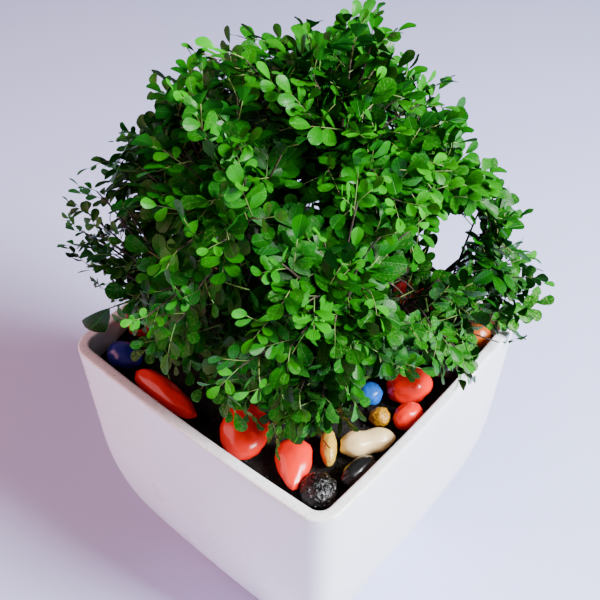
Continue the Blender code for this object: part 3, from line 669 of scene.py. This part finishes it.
def rings_mesh(rings):
    """A closed mesh through rings, each (outline, height), its height a number or a function of x and y.

    The rings are bridged while they lie well apart, and then moved to their own heights.
    """
    bm = bmesh.new()
    loops, lifted = [], []
    for i, (outline, height) in enumerate(rings):
        corners = [bm.verts.new((x, y, i * RING_SPACING)) for x, y in outline]
        loops.append([bm.edges.new((corners[k - 1], corners[k])) for k in range(len(corners))])
        lifted += [(corner, height) for corner in corners]
    bridge_and_cap(bm, loops)
    for corner, height in lifted:
        corner.co.z = height(corner.co.x, corner.co.y) if callable(height) else height
    bmesh.ops.recalc_face_normals(bm, faces=bm.faces[:])
    return bm


def bridge_and_cap(bm, loops):
    """Bridge each loop to the next, and close the first and the last one with a face."""
    for lower, upper in zip(loops, loops[1:]):
        bmesh.ops.bridge_loops(bm, edges=lower + upper)
    bmesh.ops.contextual_create(bm, geom=loops[0])
    bmesh.ops.contextual_create(bm, geom=loops[-1])
    bmesh.ops.recalc_face_normals(bm, faces=bm.faces[:])


def quarter_turns(radius):
    """(in, down) offsets of a rounded edge, from its top to its side."""
    angles = [pi / 2 * step / ROUND_STEPS for step in range(ROUND_STEPS + 1)]
    return [(radius * (1 - sin(angle)), radius * (1 - cos(angle))) for angle in angles]


def levels_down(steps, start, deepest):
    return [start + (deepest - start) * step / steps for step in range(1, steps + 1)]


def pot_mesh():
    """The pot's wall from its inside floor over the rounded rim to its foot."""
    rings = []
    for depth in reversed(levels_down(WALL_LEVELS, EDGE_ROUND, POT_HEIGHT - FLOOR)):
        outline = square_outline(half_width(depth) - WALL, CORNER_RADIUS - WALL)
        rings.append((outline, POT_HEIGHT - depth))
    rim = half_width(0)
    for inset, drop in reversed(quarter_turns(EDGE_ROUND)):
        inside = WALL - inset
        rings.append((square_outline(rim - inside, CORNER_RADIUS - inside), POT_HEIGHT - drop))
    for inset, drop in quarter_turns(EDGE_ROUND):
        rings.append((square_outline(rim - inset, CORNER_RADIUS - inset), POT_HEIGHT - drop))
    for depth in levels_down(WALL_LEVELS, EDGE_ROUND, POT_HEIGHT - FOOT_ROUND):
        rings.append((square_outline(half_width(depth), CORNER_RADIUS), POT_HEIGHT - depth))
    foot = half_width(POT_HEIGHT)
    for inset, rise in reversed(quarter_turns(FOOT_ROUND)[:-1]):
        rings.append((square_outline(foot - inset, CORNER_RADIUS - inset), rise))
    return rings_mesh(rings)


def soil_height(x, y):
    crown = CROWN_RISE * exp(-(x * x + y * y) / CROWN_RADIUS**2)
    away = hypot(x - MOUND_PLACE[0], y - MOUND_PLACE[1])
    mound = MOUND_RISE * exp(-((away / MOUND_RADIUS) ** 2))
    return POT_HEIGHT - SOIL_DEPTH + crown + mound


def lumpy_soil_height(x, y):
    """The soil's top with lumps of two sizes."""
    coarse = noise.noise(Vector((x, y, 0)) * 130)
    fine = noise.noise(Vector((x, y, 1)) * 420)
    return soil_height(x, y) + SOIL_LUMPS * (0.7 * coarse + 0.5 * fine)


def soil_mesh():
    """The soil's lumpy top, closed below by sides that follow the pot's wall."""
    rings = []
    for depth in reversed(levels_down(SOIL_LEVELS, SOIL_DEPTH, POT_HEIGHT - FLOOR)):
        outline = square_outline(half_width(depth) - WALL - 2 * GAP, CORNER_RADIUS - WALL)
        rings.append((outline, max(POT_HEIGHT - depth, FLOOR + GAP)))
    edge = half_width(SOIL_DEPTH) - WALL - 2 * GAP
    for ring in range(SOIL_RINGS):
        share = 1 - ring / SOIL_RINGS
        rings.append((square_outline(edge * share, (CORNER_RADIUS - WALL) * share), lumpy_soil_height))
    return rings_mesh(rings)


def add_crumbs(bm, count, draw):
    """Scatter small uneven crumbs over the soil."""
    inside = half_width(SOIL_DEPTH) - WALL - SOIL_EDGE_CLEAR
    for _ in range(count):
        x = draw.uniform(-inside, inside)
        y = draw.uniform(-inside, inside)
        size = draw.uniform(*CRUMB_SIZES) * draw.uniform(0.5, 1)
        place = Matrix.Translation((x, y, lumpy_soil_height(x, y) + size * 0.3))
        turn = Matrix.Rotation(draw.uniform(0, pi), 4, "Z")
        tilt = Matrix.Rotation(draw.uniform(0, pi), 4, "X")
        shape = Matrix.Diagonal((size, size * draw.uniform(0.6, 1), size * draw.uniform(0.4, 0.8), 1))
        bmesh.ops.create_icosphere(bm, subdivisions=1, radius=1.0, matrix=place @ turn @ tilt @ shape)


def pebble_mesh(half_sizes, taper, waist, rough, seed):
    """A stone from a fine ball: tapered to +X, drawn in at its middle, worn unevenly and pitted."""
    bm = bmesh.new()
    bmesh.ops.create_icosphere(bm, subdivisions=5 if rough > ROUGH_STONE else 4, radius=1.0)
    shift = Vector((seed * WEAR_SHIFT, 0, 0))
    for corner in bm.verts:
        along = corner.co.x
        wear = 1 - rough * (1 + noise.noise(corner.co * WEAR_SCALE + shift)) / 2
        wear += LUMP_HEIGHT * noise.noise(corner.co * LUMP_SCALE + shift)
        wear -= rough * PIT_DEPTH * max(0.0, noise.noise(corner.co * PIT_SCALE + shift))
        pull = (1 - taper * (along + 1) / 2) * (1 - waist * exp(-((along / WAIST_SPAN) ** 2)))
        corner.co = Vector((along, corner.co.y * pull, corner.co.z * pull)) * wear
        corner.co = Vector([value * half for value, half in zip(corner.co, half_sizes)])
    return bm


def photo_axes():
    """The level directions to the photograph's right and towards its camera."""
    side = Vector((cos(PHOTO_SIDE), sin(PHOTO_SIDE), 0))
    return side, Vector((side.y, -side.x, 0))


def facing(across, towards, height):
    """A place from its distances across the photograph, towards the camera and up from the rim."""
    side, near = photo_axes()
    return side * across + near * towards + Vector((0, 0, POT_HEIGHT + height))


def seen_at(point):
    """Where a point shows on the plane through the pot's middle: across, and up from the rim."""
    side, near = photo_axes()
    eye = Vector(CAMERA_PLACE)
    place = eye.lerp(point, eye.dot(near) / (eye - point).dot(near))
    return place.dot(side), place.z - POT_HEIGHT


def encloses(outline, place):
    """Whether a line to the right of a place meets an outline's sides an odd number of times."""
    inside = False
    for (x, y), (next_x, next_y) in zip(outline, outline[1:] + outline[:1]):
        if (y > place[1]) != (next_y > place[1]):
            crossing = x + (next_x - x) * (place[1] - y) / (next_y - y)
            inside ^= crossing > place[0]
    return inside


def in_outline(point):
    """Whether a point shows inside the bush's outline and in none of its gaps."""
    place = seen_at(point)
    return encloses(BUSH_OUTLINE, place) and not any(encloses(gap, place) for gap in SEEN_GAPS)


def in_hollow(point):
    """Whether a point on the camera's side of the bush shows in one of its dark hollows."""
    across, up = seen_at(point)
    near = (point - BUSH_MIDDLE).dot(Vector(CAMERA_PLACE) - BUSH_MIDDLE) > 0
    return near and any(hypot(across - x, up - y) < radius for x, y, radius in SEEN_HOLLOWS)


def stem_way(i):
    """Bearing and height share of a stem's end on the part's dome."""
    return i * GOLDEN_TURN, 1 - (1 - STEM_LOWEST) * (i + 0.5) / STEM_COUNT


def dome_place(bearing, level, radius, extra, rise):
    """A point on a dome that is wider on one side, at a share of its width and this rise."""
    out = (radius + extra * cos(bearing - WIDE_BEARING)) * level
    return Vector((out * cos(bearing), out * sin(bearing), BUSH_LEVEL + rise))


def part_dome_point(bearing, height_share, reach):
    """A point on the part's dome, drawn in to a share of its reach."""
    level = sqrt(max(0.0, 1 - height_share * height_share))
    return dome_place(bearing, level * reach, PART_RADIUS, PART_EXTRA, PART_RISE * height_share * reach)


def dome_point(bush, bearing, height_share, reach):
    """A point on the bush's dome, drawn in to a share of its reach."""
    power = bush.fullness
    level = (1 - min(1.0, abs(height_share)) ** power) ** (1 / power)
    return dome_place(bearing, level * reach, bush.radius, bush.extra, bush.rise * height_share * reach)


def curve_point(start, middle, end, t):
    """A point on the curve that leaves start towards middle and reaches end."""
    return start * (1 - t) ** 2 + middle * 2 * t * (1 - t) + end * t * t


def stem_axis(base, tip):
    """Points up the stem: straight up through the soil, then a curve to the tip."""
    start = Vector((base[0], base[1], soil_height(*base) + STRAIGHT_RISE))
    knee = start + Vector((0, 0, KNEE_SHARE * (tip.z - start.z)))
    points = [start - Vector((0, 0, BURIED + STRAIGHT_RISE)), start]
    for step in range(1, AXIS_STEPS + 1):
        points.append(curve_point(start, knee, tip, step / AXIS_STEPS))
    return points


def stem_axes():
    axes = []
    for i in range(STEM_COUNT):
        bearing, height_share = stem_way(i)
        ring = BASE_RING[0] + (BASE_RING[1] - BASE_RING[0]) * sqrt((i + 0.5) / STEM_COUNT)
        base = (ring * cos(bearing), ring * sin(bearing))
        axes.append(stem_axis(base, part_dome_point(bearing, height_share, STEM_REACH)))
    axes.append(stem_axis(SHOOT_BASE, Vector(SHOOT_TIP)))
    return axes


def along_axis(axis, share):
    """The place on a stem at this share of its length above the soil."""
    steps = 1 + max(0.0, min(0.999, share)) * (len(axis) - 2)
    i = int(steps)
    return axis[i].lerp(axis[i + 1], steps - i)


def add_tube(bm, path, radii, sides):
    """Add a closed tube along the path, its radius going from the first to the last."""
    made = bmesh.new()
    loops = []
    for i, place in enumerate(path):
        ahead = path[min(i + 1, len(path) - 1)] - path[max(i - 1, 0)]
        turn = ahead.to_track_quat("Z", "Y").to_matrix().to_4x4()
        radius = radii[0] + (radii[1] - radii[0]) * i / (len(path) - 1)
        matrix = Matrix.Translation(place) @ turn
        ring = bmesh.ops.create_circle(made, segments=sides, radius=radius, matrix=matrix)
        loops.append(list({edge for corner in ring["verts"] for edge in corner.link_edges}))
    bridge_and_cap(made, loops)
    pour(bm, held_mesh("tube", made))


def blade_span(along):
    """Half width of an obovate leaflet, as a share of the most, from its base to its tip."""
    t = 0.01 + 0.87 * along
    return t**0.62 * sqrt(1 - t**3.4) / 0.673


def leaves_bmesh():
    """A bmesh with the two layers of a leaf: the map across each leaflet and the look of each corner."""
    bm = bmesh.new()
    bm.loops.layers.uv.new("leaf")
    bm.verts.layers.float_color.new("look")
    return bm


def held_mesh(name, bm):
    """A mesh, still without an object, made from a bmesh."""
    mesh = bpy.data.meshes.new(name)
    bm.to_mesh(mesh)
    bm.free()
    return mesh


def pour(bm, mesh):
    """Add a mesh to a bmesh, and remove it."""
    bm.from_mesh(mesh)
    bpy.data.meshes.remove(mesh)


def leaflet_mesh(length, width, draw):
    """One leaflet along +X: a grid drawn to an obovate outline, folded at its rib and curled."""
    bm = leaves_bmesh()
    look = bm.verts.layers.float_color["look"]
    bmesh.ops.create_grid(bm, x_segments=5, y_segments=4, size=0.5, calc_uvs=True)
    fold, curl, sway = (draw.uniform(*span) for span in (FOLD, CURL, SWAY))
    shades = [middle + draw.uniform(-apart, apart) for middle, apart in LEAFLET_LOOK]
    for corner in bm.verts:
        along, across = corner.co.x + 0.5, corner.co.y * 2
        side = across * width / 2 * blade_span(along)
        ahead = length * (along - TIP_ROUNDING * across**2 * along**3)
        rise = fold * abs(side) - curl * length * along**2 + ARCH * length * along * (1 - along)
        corner.co = Vector((ahead, side + sway * length * along**2, rise))
        corner[look] = (*shades, 1)
    return held_mesh("leaflet", bm)


def add_copy(bm, template, matrix, look):
    """Add a placed copy of a mesh, with its look values moved by the given ones."""
    copy = template.copy()
    copy.transform(matrix)
    data = copy.attributes["look"].data
    values = np.empty(4 * len(data), dtype=np.float32)
    data.foreach_get("color", values)
    values = np.clip(values.reshape(-1, 4) + np.array(look, dtype=np.float32), 0, 1)
    data.foreach_set("color", values.ravel())
    pour(bm, copy)


def compound_leaf(name, leaflets, settings, draw):
    """A template leaf along +X: a thin rib with leaflets left and right, and one at its end."""
    bm = leaves_bmesh()
    rib = rib_length(leaflets, settings)
    droop = draw.uniform(*DROOP)
    path = [Vector((rib * t, 0, -droop * rib * t * t)) for t in (0, 0.35, 0.7, 1.0)]
    add_tube(bm, path, RIB_RADII, 3)
    for face in bm.faces:
        face.material_index = 1
    sides = leaflets - 1
    for k in range(leaflets):
        last = k == sides
        share = 1.0 if last else LEAFLET_PLACES[0] + LEAFLET_PLACES[1] * k / sides
        side_size = SIDE_LEAFLET_SIZE[0] + SIDE_LEAFLET_SIZE[1] * sin(pi * share)
        size = (1.0 if last else side_size) * draw.uniform(*LEAFLET_APART)
        sheet = leaflet_mesh(settings.length * size, settings.width * size, draw)
        hand = 1 if k % 2 else -1
        turn = 0.0 if last else hand * radians(draw.uniform(*LEAFLET_TURN))
        base = Vector((rib * share, 0, -droop * rib * share * share))
        matrix = Matrix.Translation(base) @ Matrix.Rotation(turn, 4, "Z")
        matrix @= Matrix.Rotation(radians(draw.uniform(*LEAFLET_PITCH)), 4, "Y")
        matrix @= Matrix.Rotation(radians(draw.uniform(*LEAFLET_ROLL)), 4, "X")
        sheet.transform(matrix)
        pour(bm, sheet)
    return held_mesh(name, bm)


def rib_length(leaflets, settings):
    """Length of the rib of a leaf with this many leaflets."""
    return settings.rib * (RIB_SHARES[0] + RIB_SHARES[1] * leaflets)


def leaf_templates(settings, draw):
    """Small, middle and full compound leaves: how long each kind is, and several meshes of it."""
    made = {}
    for count in LEAFLET_COUNTS:
        names = [f"leaf_{count}_{i}" for i in range(SHAPES_OF_EACH)]
        meshes = [compound_leaf(name, count, settings, draw) for name in names]
        made[count] = (rib_length(count, settings) + settings.length, meshes)
    return made


def leaf_frame(root, direction, face):
    """Matrix of a leaf that grows from root along direction and turns its upper side towards face."""
    ahead = direction.normalized()
    side = face.cross(ahead).normalized()
    up = ahead.cross(side)
    turn = Matrix((ahead, side, up)).transposed()
    return Matrix.Translation(root) @ turn.to_4x4()


def hits_pot(point):
    """Whether a leaf that ends here would cut the pot's rim or the stones."""
    over_rim = max(abs(point.x), abs(point.y)) < RIM_SIDE / 2 + RIM_CLEAR
    return over_rim and point.z < POT_HEIGHT + RIM_CLEAR


class Twig:
    """One twig of a stem: a curve from its stem to its tip. Its kind is outer, inner or bare."""

    def __init__(self, start, tip, lift, kind="outer"):
        self.start = start
        self.tip = tip
        self.kind = kind
        self.end = 1.0
        self.middle = start.lerp(tip, 0.5) + Vector((0, 0, lift))

    def point(self, t):
        return curve_point(self.start, self.middle, self.tip, t)

    def ahead(self, t):
        return (self.middle - self.start).lerp(self.tip - self.middle, t).normalized()

    def length(self):
        return (self.tip - self.start).length


def drawn_in(tip):
    """A twig's tip drawn in until it shows inside the bush's outline, or None."""
    for _ in range(DRAW_STEPS):
        if in_outline(tip):
            return tip
        tip = BUSH_MIDDLE.lerp(tip, 1 - DRAW_SHARE)
    return None


def nearest_stem(point):
    """The stem of the dome whose own direction is nearest to a point's."""
    away = (point - FAN_POINT).normalized()
    fans = [(part_dome_point(*stem_way(i), 1.0) - FAN_POINT).normalized() for i in range(STEM_COUNT)]
    return max(range(len(fans)), key=lambda own: away.dot(fans[own]))


def twig_to(tip, axis, draw, kind="outer"):
    """A twig that leaves a stem below its end and curves up and out to a tip."""
    far = (tip - axis[-1]).length
    share = max(FORKS[0], min(FORKS[1], FORK_START - FORK_FALL * far)) * draw.uniform(*FORK_APART)
    start = along_axis(axis, share)
    return Twig(start, tip, draw.uniform(*TWIG_LIFT), kind)


def dome_twigs(bush, axes, draw):
    """Twigs of the dome, in one list for each stem."""
    twigs = [[] for _ in axes]
    kinds = (("outer", bush.twigs, OUTER_REACHES, 0), ("inner", bush.inner_twigs, INNER_REACHES, INNER_TURN))
    for kind, count, reaches, turn in kinds:
        for i in range(count):
            height_share = 1 - (1 - bush.lowest) * (i + 0.5) / count
            tip = dome_point(bush, i * GOLDEN_TURN + turn, height_share, draw.uniform(*reaches))
            hollow = kind == "outer" and noise.noise(tip * CLUMP_SCALE) < bush.hollows
            uneven = 1 + UNEVEN_REACH * noise.noise(tip * UNEVEN_SCALE)
            tip = drawn_in(BUSH_MIDDLE.lerp(tip, uneven))
            if tip and not hollow:
                own = nearest_stem(tip)
                twigs[own].append(twig_to(tip, axes[own], draw, kind))
    for spray in DOME_SPRAYS + FRONT_SPRAYS:
        tip = facing(*spray)
        own = nearest_stem(tip)
        twigs[own].append(twig_to(BUSH_MIDDLE.lerp(tip, SPRAY_REACH), axes[own], draw))
    base = facing(*CORNER_LEAF[0])
    own = nearest_stem(base)
    twigs[own].append(twig_to(base, axes[own], draw, "bare"))
    return twigs


def shoot_twigs(axis, draw):
    """Twigs of the side shoot: the higher their tip is, the higher they leave its stem."""
    made = []
    for spray in SHOOT_SPRAYS:
        tip = facing(*spray)
        share = (tip.z - axis[1].z) / (axis[-1].z - axis[1].z) - SHOOT_DROP
        start = along_axis(axis, max(SHOOT_LOWEST, min(SHOOT_FORK, share)))
        made.append(Twig(start, start.lerp(tip, SHOOT_REACH), draw.uniform(*SHOOT_LIFT)))
    return made


def grow_wood(axis, share, twigs):
    """The wood of one stem up to a share of its length, and a thin tube for each twig with leaves."""
    bm = bmesh.new()
    path = [axis[0]] + [along_axis(axis, share * step / STEM_STEPS) for step in range(STEM_STEPS + 1)]
    add_tube(bm, path, STEM_RADII, STEM_SIDES)
    for twig in twigs:
        if twig.end > 0:
            path = [twig.point(twig.end * step / TWIG_STEPS) for step in range(TWIG_STEPS + 1)]
            thick = TWIG_RADII[0] + TWIG_THICKENING * twig.length()
            add_tube(bm, path, (thick, TWIG_RADII[1]), TWIG_SIDES)
    return bm


def within(value, low, high):
    """How far a value is between two others, from 0 to 1."""
    return max(0.0, min(1.0, (value - low) / (high - low)))


def grow_leaves(bm, twig, templates, draw):
    """Add compound leaves round the outer part of a twig, smaller and younger towards its tip.

    The twig's wood then ends at its last leaf.
    """
    length = twig.length()
    twig.end = 0.0
    spread = min(LEAFY_SHARE * length, LEAFY_LENGTH)
    inner = twig.kind == "inner"
    count = FEWEST_LEAVES if inner else max(FEWEST_LEAVES, round(spread / LEAF_SPACING))
    turn = draw.uniform(0, 2 * pi)
    for i in range(count):
        share = i / (count - 1)
        t = 1 - (1 - share) * spread / length
        root, ahead = twig.point(t), twig.ahead(t)
        turn += GOLDEN_TURN + draw.uniform(-TURN_APART, TURN_APART)
        lean = radians(LEAN[0] - LEAN[1] * share**1.5) * draw.uniform(*LEAN_APART)
        side = Matrix.Rotation(turn, 3, ahead) @ ahead.orthogonal().normalized()
        direction = (ahead * cos(lean) + side * sin(lean)).normalized()
        outward = (root - BUSH_MIDDLE).normalized()
        along, back, out, above = FACE_WEIGHTS
        face = ahead * along - side * back * cos(lean) + outward * out + Vector((0, 0, above))
        face += Vector([draw.uniform(-FACE_WOBBLE, FACE_WOBBLE) for _ in range(3)])
        size = (LEAF_SIZE[0] - LEAF_SIZE[1] * share**2) * draw.uniform(*SIZE_APART)
        few, some, full = LEAFLET_COUNTS
        leaflets = some if share > FULL_UP_TO else full
        if share > FEW_FROM or draw.random() < FEW_SHARE:
            leaflets = few
        reach, meshes = templates[leaflets]
        across, up = seen_at(root)
        sparse = across < SPARSE_SIDE[0] and up < SPARSE_SIDE[1]
        if sparse:
            size *= SPARSE_SIZE
        end = root + direction * reach * size
        middle = root.lerp(end, 0.5)
        dropped = sparse and draw.random() < SPARSE_SHARE
        hollow = twig.kind == "outer" and (in_hollow(middle) or in_hollow(end))
        dropped |= hollow and draw.random() < HOLLOW_SHARE
        if dropped or hits_pot(end) or not in_outline(end) or not in_outline(middle):
            continue
        twig.end = t
        low = 1 - within(root.z, *LOW_BAND)
        high = within(root.z, *HIGH_BAND)
        # The leaf's tone: random, lighter high up by painted light, darker low down and, for inner twigs and
        # the sparse side, by painted shade.
        apart, painted_light_high, painted_shade_low, painted_shade = TONE_AND_PAINTED_LIGHT
        tone_and_painted_light = draw.uniform(-apart, apart) + painted_light_high * high - painted_shade_low * low
        tone_and_painted_light -= painted_shade if sparse or inner else 0
        start, gain, high_gain, outer = YOUNG
        youth = start + (gain + high_gain * high) * max(0.0, share - outer) * draw.uniform(*YOUNG_APART)
        dry = DRY[0] + DRY[1] * low * draw.random()
        matrix = leaf_frame(root, direction, face) @ Matrix.Scale(size, 4)
        add_copy(bm, draw.choice(meshes), matrix, (tone_and_painted_light, youth, dry, 0))


def build_stem(name, node, axis, share, twigs, templates, draw, finishes):
    """The leaves and the wood of one stem, each its own piece."""
    leaf, stalk, bark = finishes
    bm = leaves_bmesh()
    for twig in twigs:
        if twig.kind != "bare":
            grow_leaves(bm, twig, templates, draw)
    dressed(finished_object(name + "_leaves", bm, [leaf, stalk]), "leaf", node)
    dressed(finished_object(name + "_wood", grow_wood(axis, share, twigs), [bark]), "leaf", node)


class JASMINE_OT_pot(bpy.types.Operator):
    """Build the glazed pot"""

    bl_idname = "jasmine.pot"
    bl_label = "Pot"

    def execute(self, context):
        pot = finished_object("glazed_pot", pot_mesh(), [glaze_material(context.scene.jasmine_pot)])
        pot.data.set_sharp_from_angle(angle=radians(50))
        dressed(pot, "pot_glaze", "pot")
        return {"FINISHED"}


class JASMINE_OT_soil(bpy.types.Operator):
    """Build the soil and its crumbs"""

    bl_idname = "jasmine.soil"
    bl_label = "Soil"

    def execute(self, context):
        settings = context.scene.jasmine_soil
        bm = soil_mesh()
        add_crumbs(bm, settings.crumbs, random.Random(3))
        dressed(finished_object("soil_crumbs", bm, [soil_material(settings)]), "soil", "soil")
        return {"FINISHED"}


class JASMINE_OT_stones(bpy.types.Operator):
    """Build the dyed stones"""

    bl_idname = "jasmine.stones"
    bl_label = "Stones"

    def execute(self, context):
        for seed, (name, dye, place, sizes, turn, taper, waist, rough) in enumerate(PEBBLES):
            node = "pebble_" + name
            place, half_sizes = metres(place, sizes)
            bm = pebble_mesh(half_sizes, taper, waist, rough, seed)
            lowest = min(corner.co.z for corner in bm.verts)
            lie = Matrix.Rotation(radians(turn), 4, "Z")
            lie.translation = (*place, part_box(node)[0][2] - lowest)
            bm.transform(lie)
            finish = stone_material(dye, rough > ROUGH_STONE)
            dressed(finished_object("stone_" + name, bm, [finish]), "stone_" + dye, node)
        return {"FINISHED"}


class JASMINE_OT_bush(bpy.types.Operator):
    """Grow the leafy stems and the side shoot"""

    bl_idname = "jasmine.bush"
    bl_label = "Leafy stems"

    def execute(self, context):
        bush = context.scene.jasmine_bush
        settings = context.scene.jasmine_leaves
        draw = random.Random(bush.seed)
        finishes = (leaf_material(settings), stalk_material(), bark_material())
        templates = leaf_templates(settings, draw)
        axes = stem_axes()
        twigs = dome_twigs(bush, axes, draw)
        for own in range(STEM_COUNT):
            node = f"leafy_stem_{own + 1:02d}"
            build_stem(node, node, axes[own], 1.0, twigs[own], templates, draw, finishes)
        shoot = shoot_twigs(axes[-1], draw)
        build_stem("right_shoot", "side_shoot", axes[-1], SHOOT_FORK, shoot, templates, draw, finishes)
        self.add_corner_leaf(finishes[0], draw)
        for _, meshes in templates.values():
            for mesh in meshes:
                bpy.data.meshes.remove(mesh)
        return {"FINISHED"}

    def add_corner_leaf(self, leaf, draw):
        """The large leaf over the pot's left corner, painted dark as shade."""
        base, tip = (facing(*place) for place in CORNER_LEAF)
        length = (tip - base).length
        sheet = leaflet_mesh(length, length * CORNER_LEAF_WIDTH, draw)
        bm = leaves_bmesh()
        add_copy(bm, sheet, leaf_frame(base, tip - base, photo_axes()[1]), CORNER_LEAF_SHADE_LOOK)
        bpy.data.meshes.remove(sheet)
        node = f"leafy_stem_{nearest_stem(base) + 1:02d}"
        dressed(finished_object("corner_leaf", bm, [leaf]), "leaf", node)


class JASMINE_OT_stage(bpy.types.Operator):
    """Build the floor, the lights and the camera"""

    bl_idname = "jasmine.stage"
    bl_label = "Stage"

    def execute(self, context):
        settings = context.scene.jasmine_stage
        bm = bmesh.new()
        bmesh.ops.create_grid(bm, x_segments=2, y_segments=2, size=FLOOR_REACH)
        floor = finished_object("floor", bm, [floor_material(settings)], smooth=False)
        self.add_lamp("key_light", settings.key, KEY_PLACE, KEY_SIZE, KEY_COLOUR)
        self.add_lamp("fill_light", settings.fill, FILL_PLACE, FILL_SIZE, FILL_COLOUR)
        world = bpy.data.worlds.new("soft_room")
        world.use_nodes = True
        back = world.node_tree.nodes["Background"]
        back.inputs["Color"].default_value = (*SKY_COLOUR, 1.0)
        back.inputs["Strength"].default_value = settings.sky
        context.scene.world = world
        self.add_camera(context)
        return {"FINISHED"}

    def add_lamp(self, name, power, place, size, colour):
        """A square soft light that looks at the bush."""
        lamp = bpy.data.lights.new(name, "AREA")
        lamp.energy = power
        lamp.size = size
        lamp.color = colour
        item = bpy.data.objects.new(name, lamp)
        item.location = place
        aim = Vector((0, 0, POT_HEIGHT)) - Vector(place)
        item.rotation_euler = aim.to_track_quat("-Z", "Y").to_euler()
        bpy.context.scene.collection.objects.link(item)

    def add_camera(self, context):
        data = bpy.data.cameras.new("camera")
        data.lens = CAMERA_LENS
        data.sensor_width = SENSOR
        camera = bpy.data.objects.new("camera", data)
        turn = Matrix.Rotation(PHOTO_SIDE, 4, "Z") @ Matrix.Rotation(pi / 2 - CAMERA_PITCH, 4, "X")
        camera.matrix_world = Matrix.Translation(CAMERA_PLACE) @ turn @ Matrix.Rotation(CAMERA_ROLL, 4, "Z")
        context.scene.collection.objects.link(camera)
        context.scene.camera = camera


class JASMINE_PT_panel(bpy.types.Panel):
    """Sidebar panel with the settings and the pieces"""

    bl_idname = "JASMINE_PT_panel"
    bl_label = "Potted jasmine"
    bl_space_type = "VIEW_3D"
    bl_region_type = "UI"
    bl_category = "Jasmine"

    def draw(self, context):
        for operator, groups in PIECES:
            box = self.layout.box()
            box.operator(operator)
            for group in groups:
                settings = getattr(context.scene, group)
                for name in GROUPS[group].__annotations__:
                    box.prop(settings, name)


PIECES = (
    ("jasmine.pot", ("jasmine_pot",)),
    ("jasmine.soil", ("jasmine_soil",)),
    ("jasmine.stones", ()),
    ("jasmine.bush", ("jasmine_bush", "jasmine_leaves")),
    ("jasmine.stage", ("jasmine_stage",)),
)
GROUPS = {
    "jasmine_pot": JasminePot,
    "jasmine_soil": JasmineSoil,
    "jasmine_bush": JasmineBush,
    "jasmine_leaves": JasmineLeaves,
    "jasmine_stage": JasmineStage,
}
OPERATORS = (JASMINE_OT_pot, JASMINE_OT_soil, JASMINE_OT_stones, JASMINE_OT_bush, JASMINE_OT_stage)


def register():
    for item in (*GROUPS.values(), *OPERATORS, JASMINE_PT_panel):
        bpy.utils.register_class(item)
    for name, group in GROUPS.items():
        setattr(bpy.types.Scene, name, PointerProperty(type=group))


def unregister():
    for name in GROUPS:
        delattr(bpy.types.Scene, name)
    for item in (JASMINE_PT_panel, *reversed(OPERATORS), *reversed(tuple(GROUPS.values()))):
        bpy.utils.unregister_class(item)


def main():
    register()
    bpy.ops.jasmine.pot()
    bpy.ops.jasmine.soil()
    bpy.ops.jasmine.stones()
    bpy.ops.jasmine.bush()
    bpy.ops.jasmine.stage()


if __name__ == "__main__":
    main()
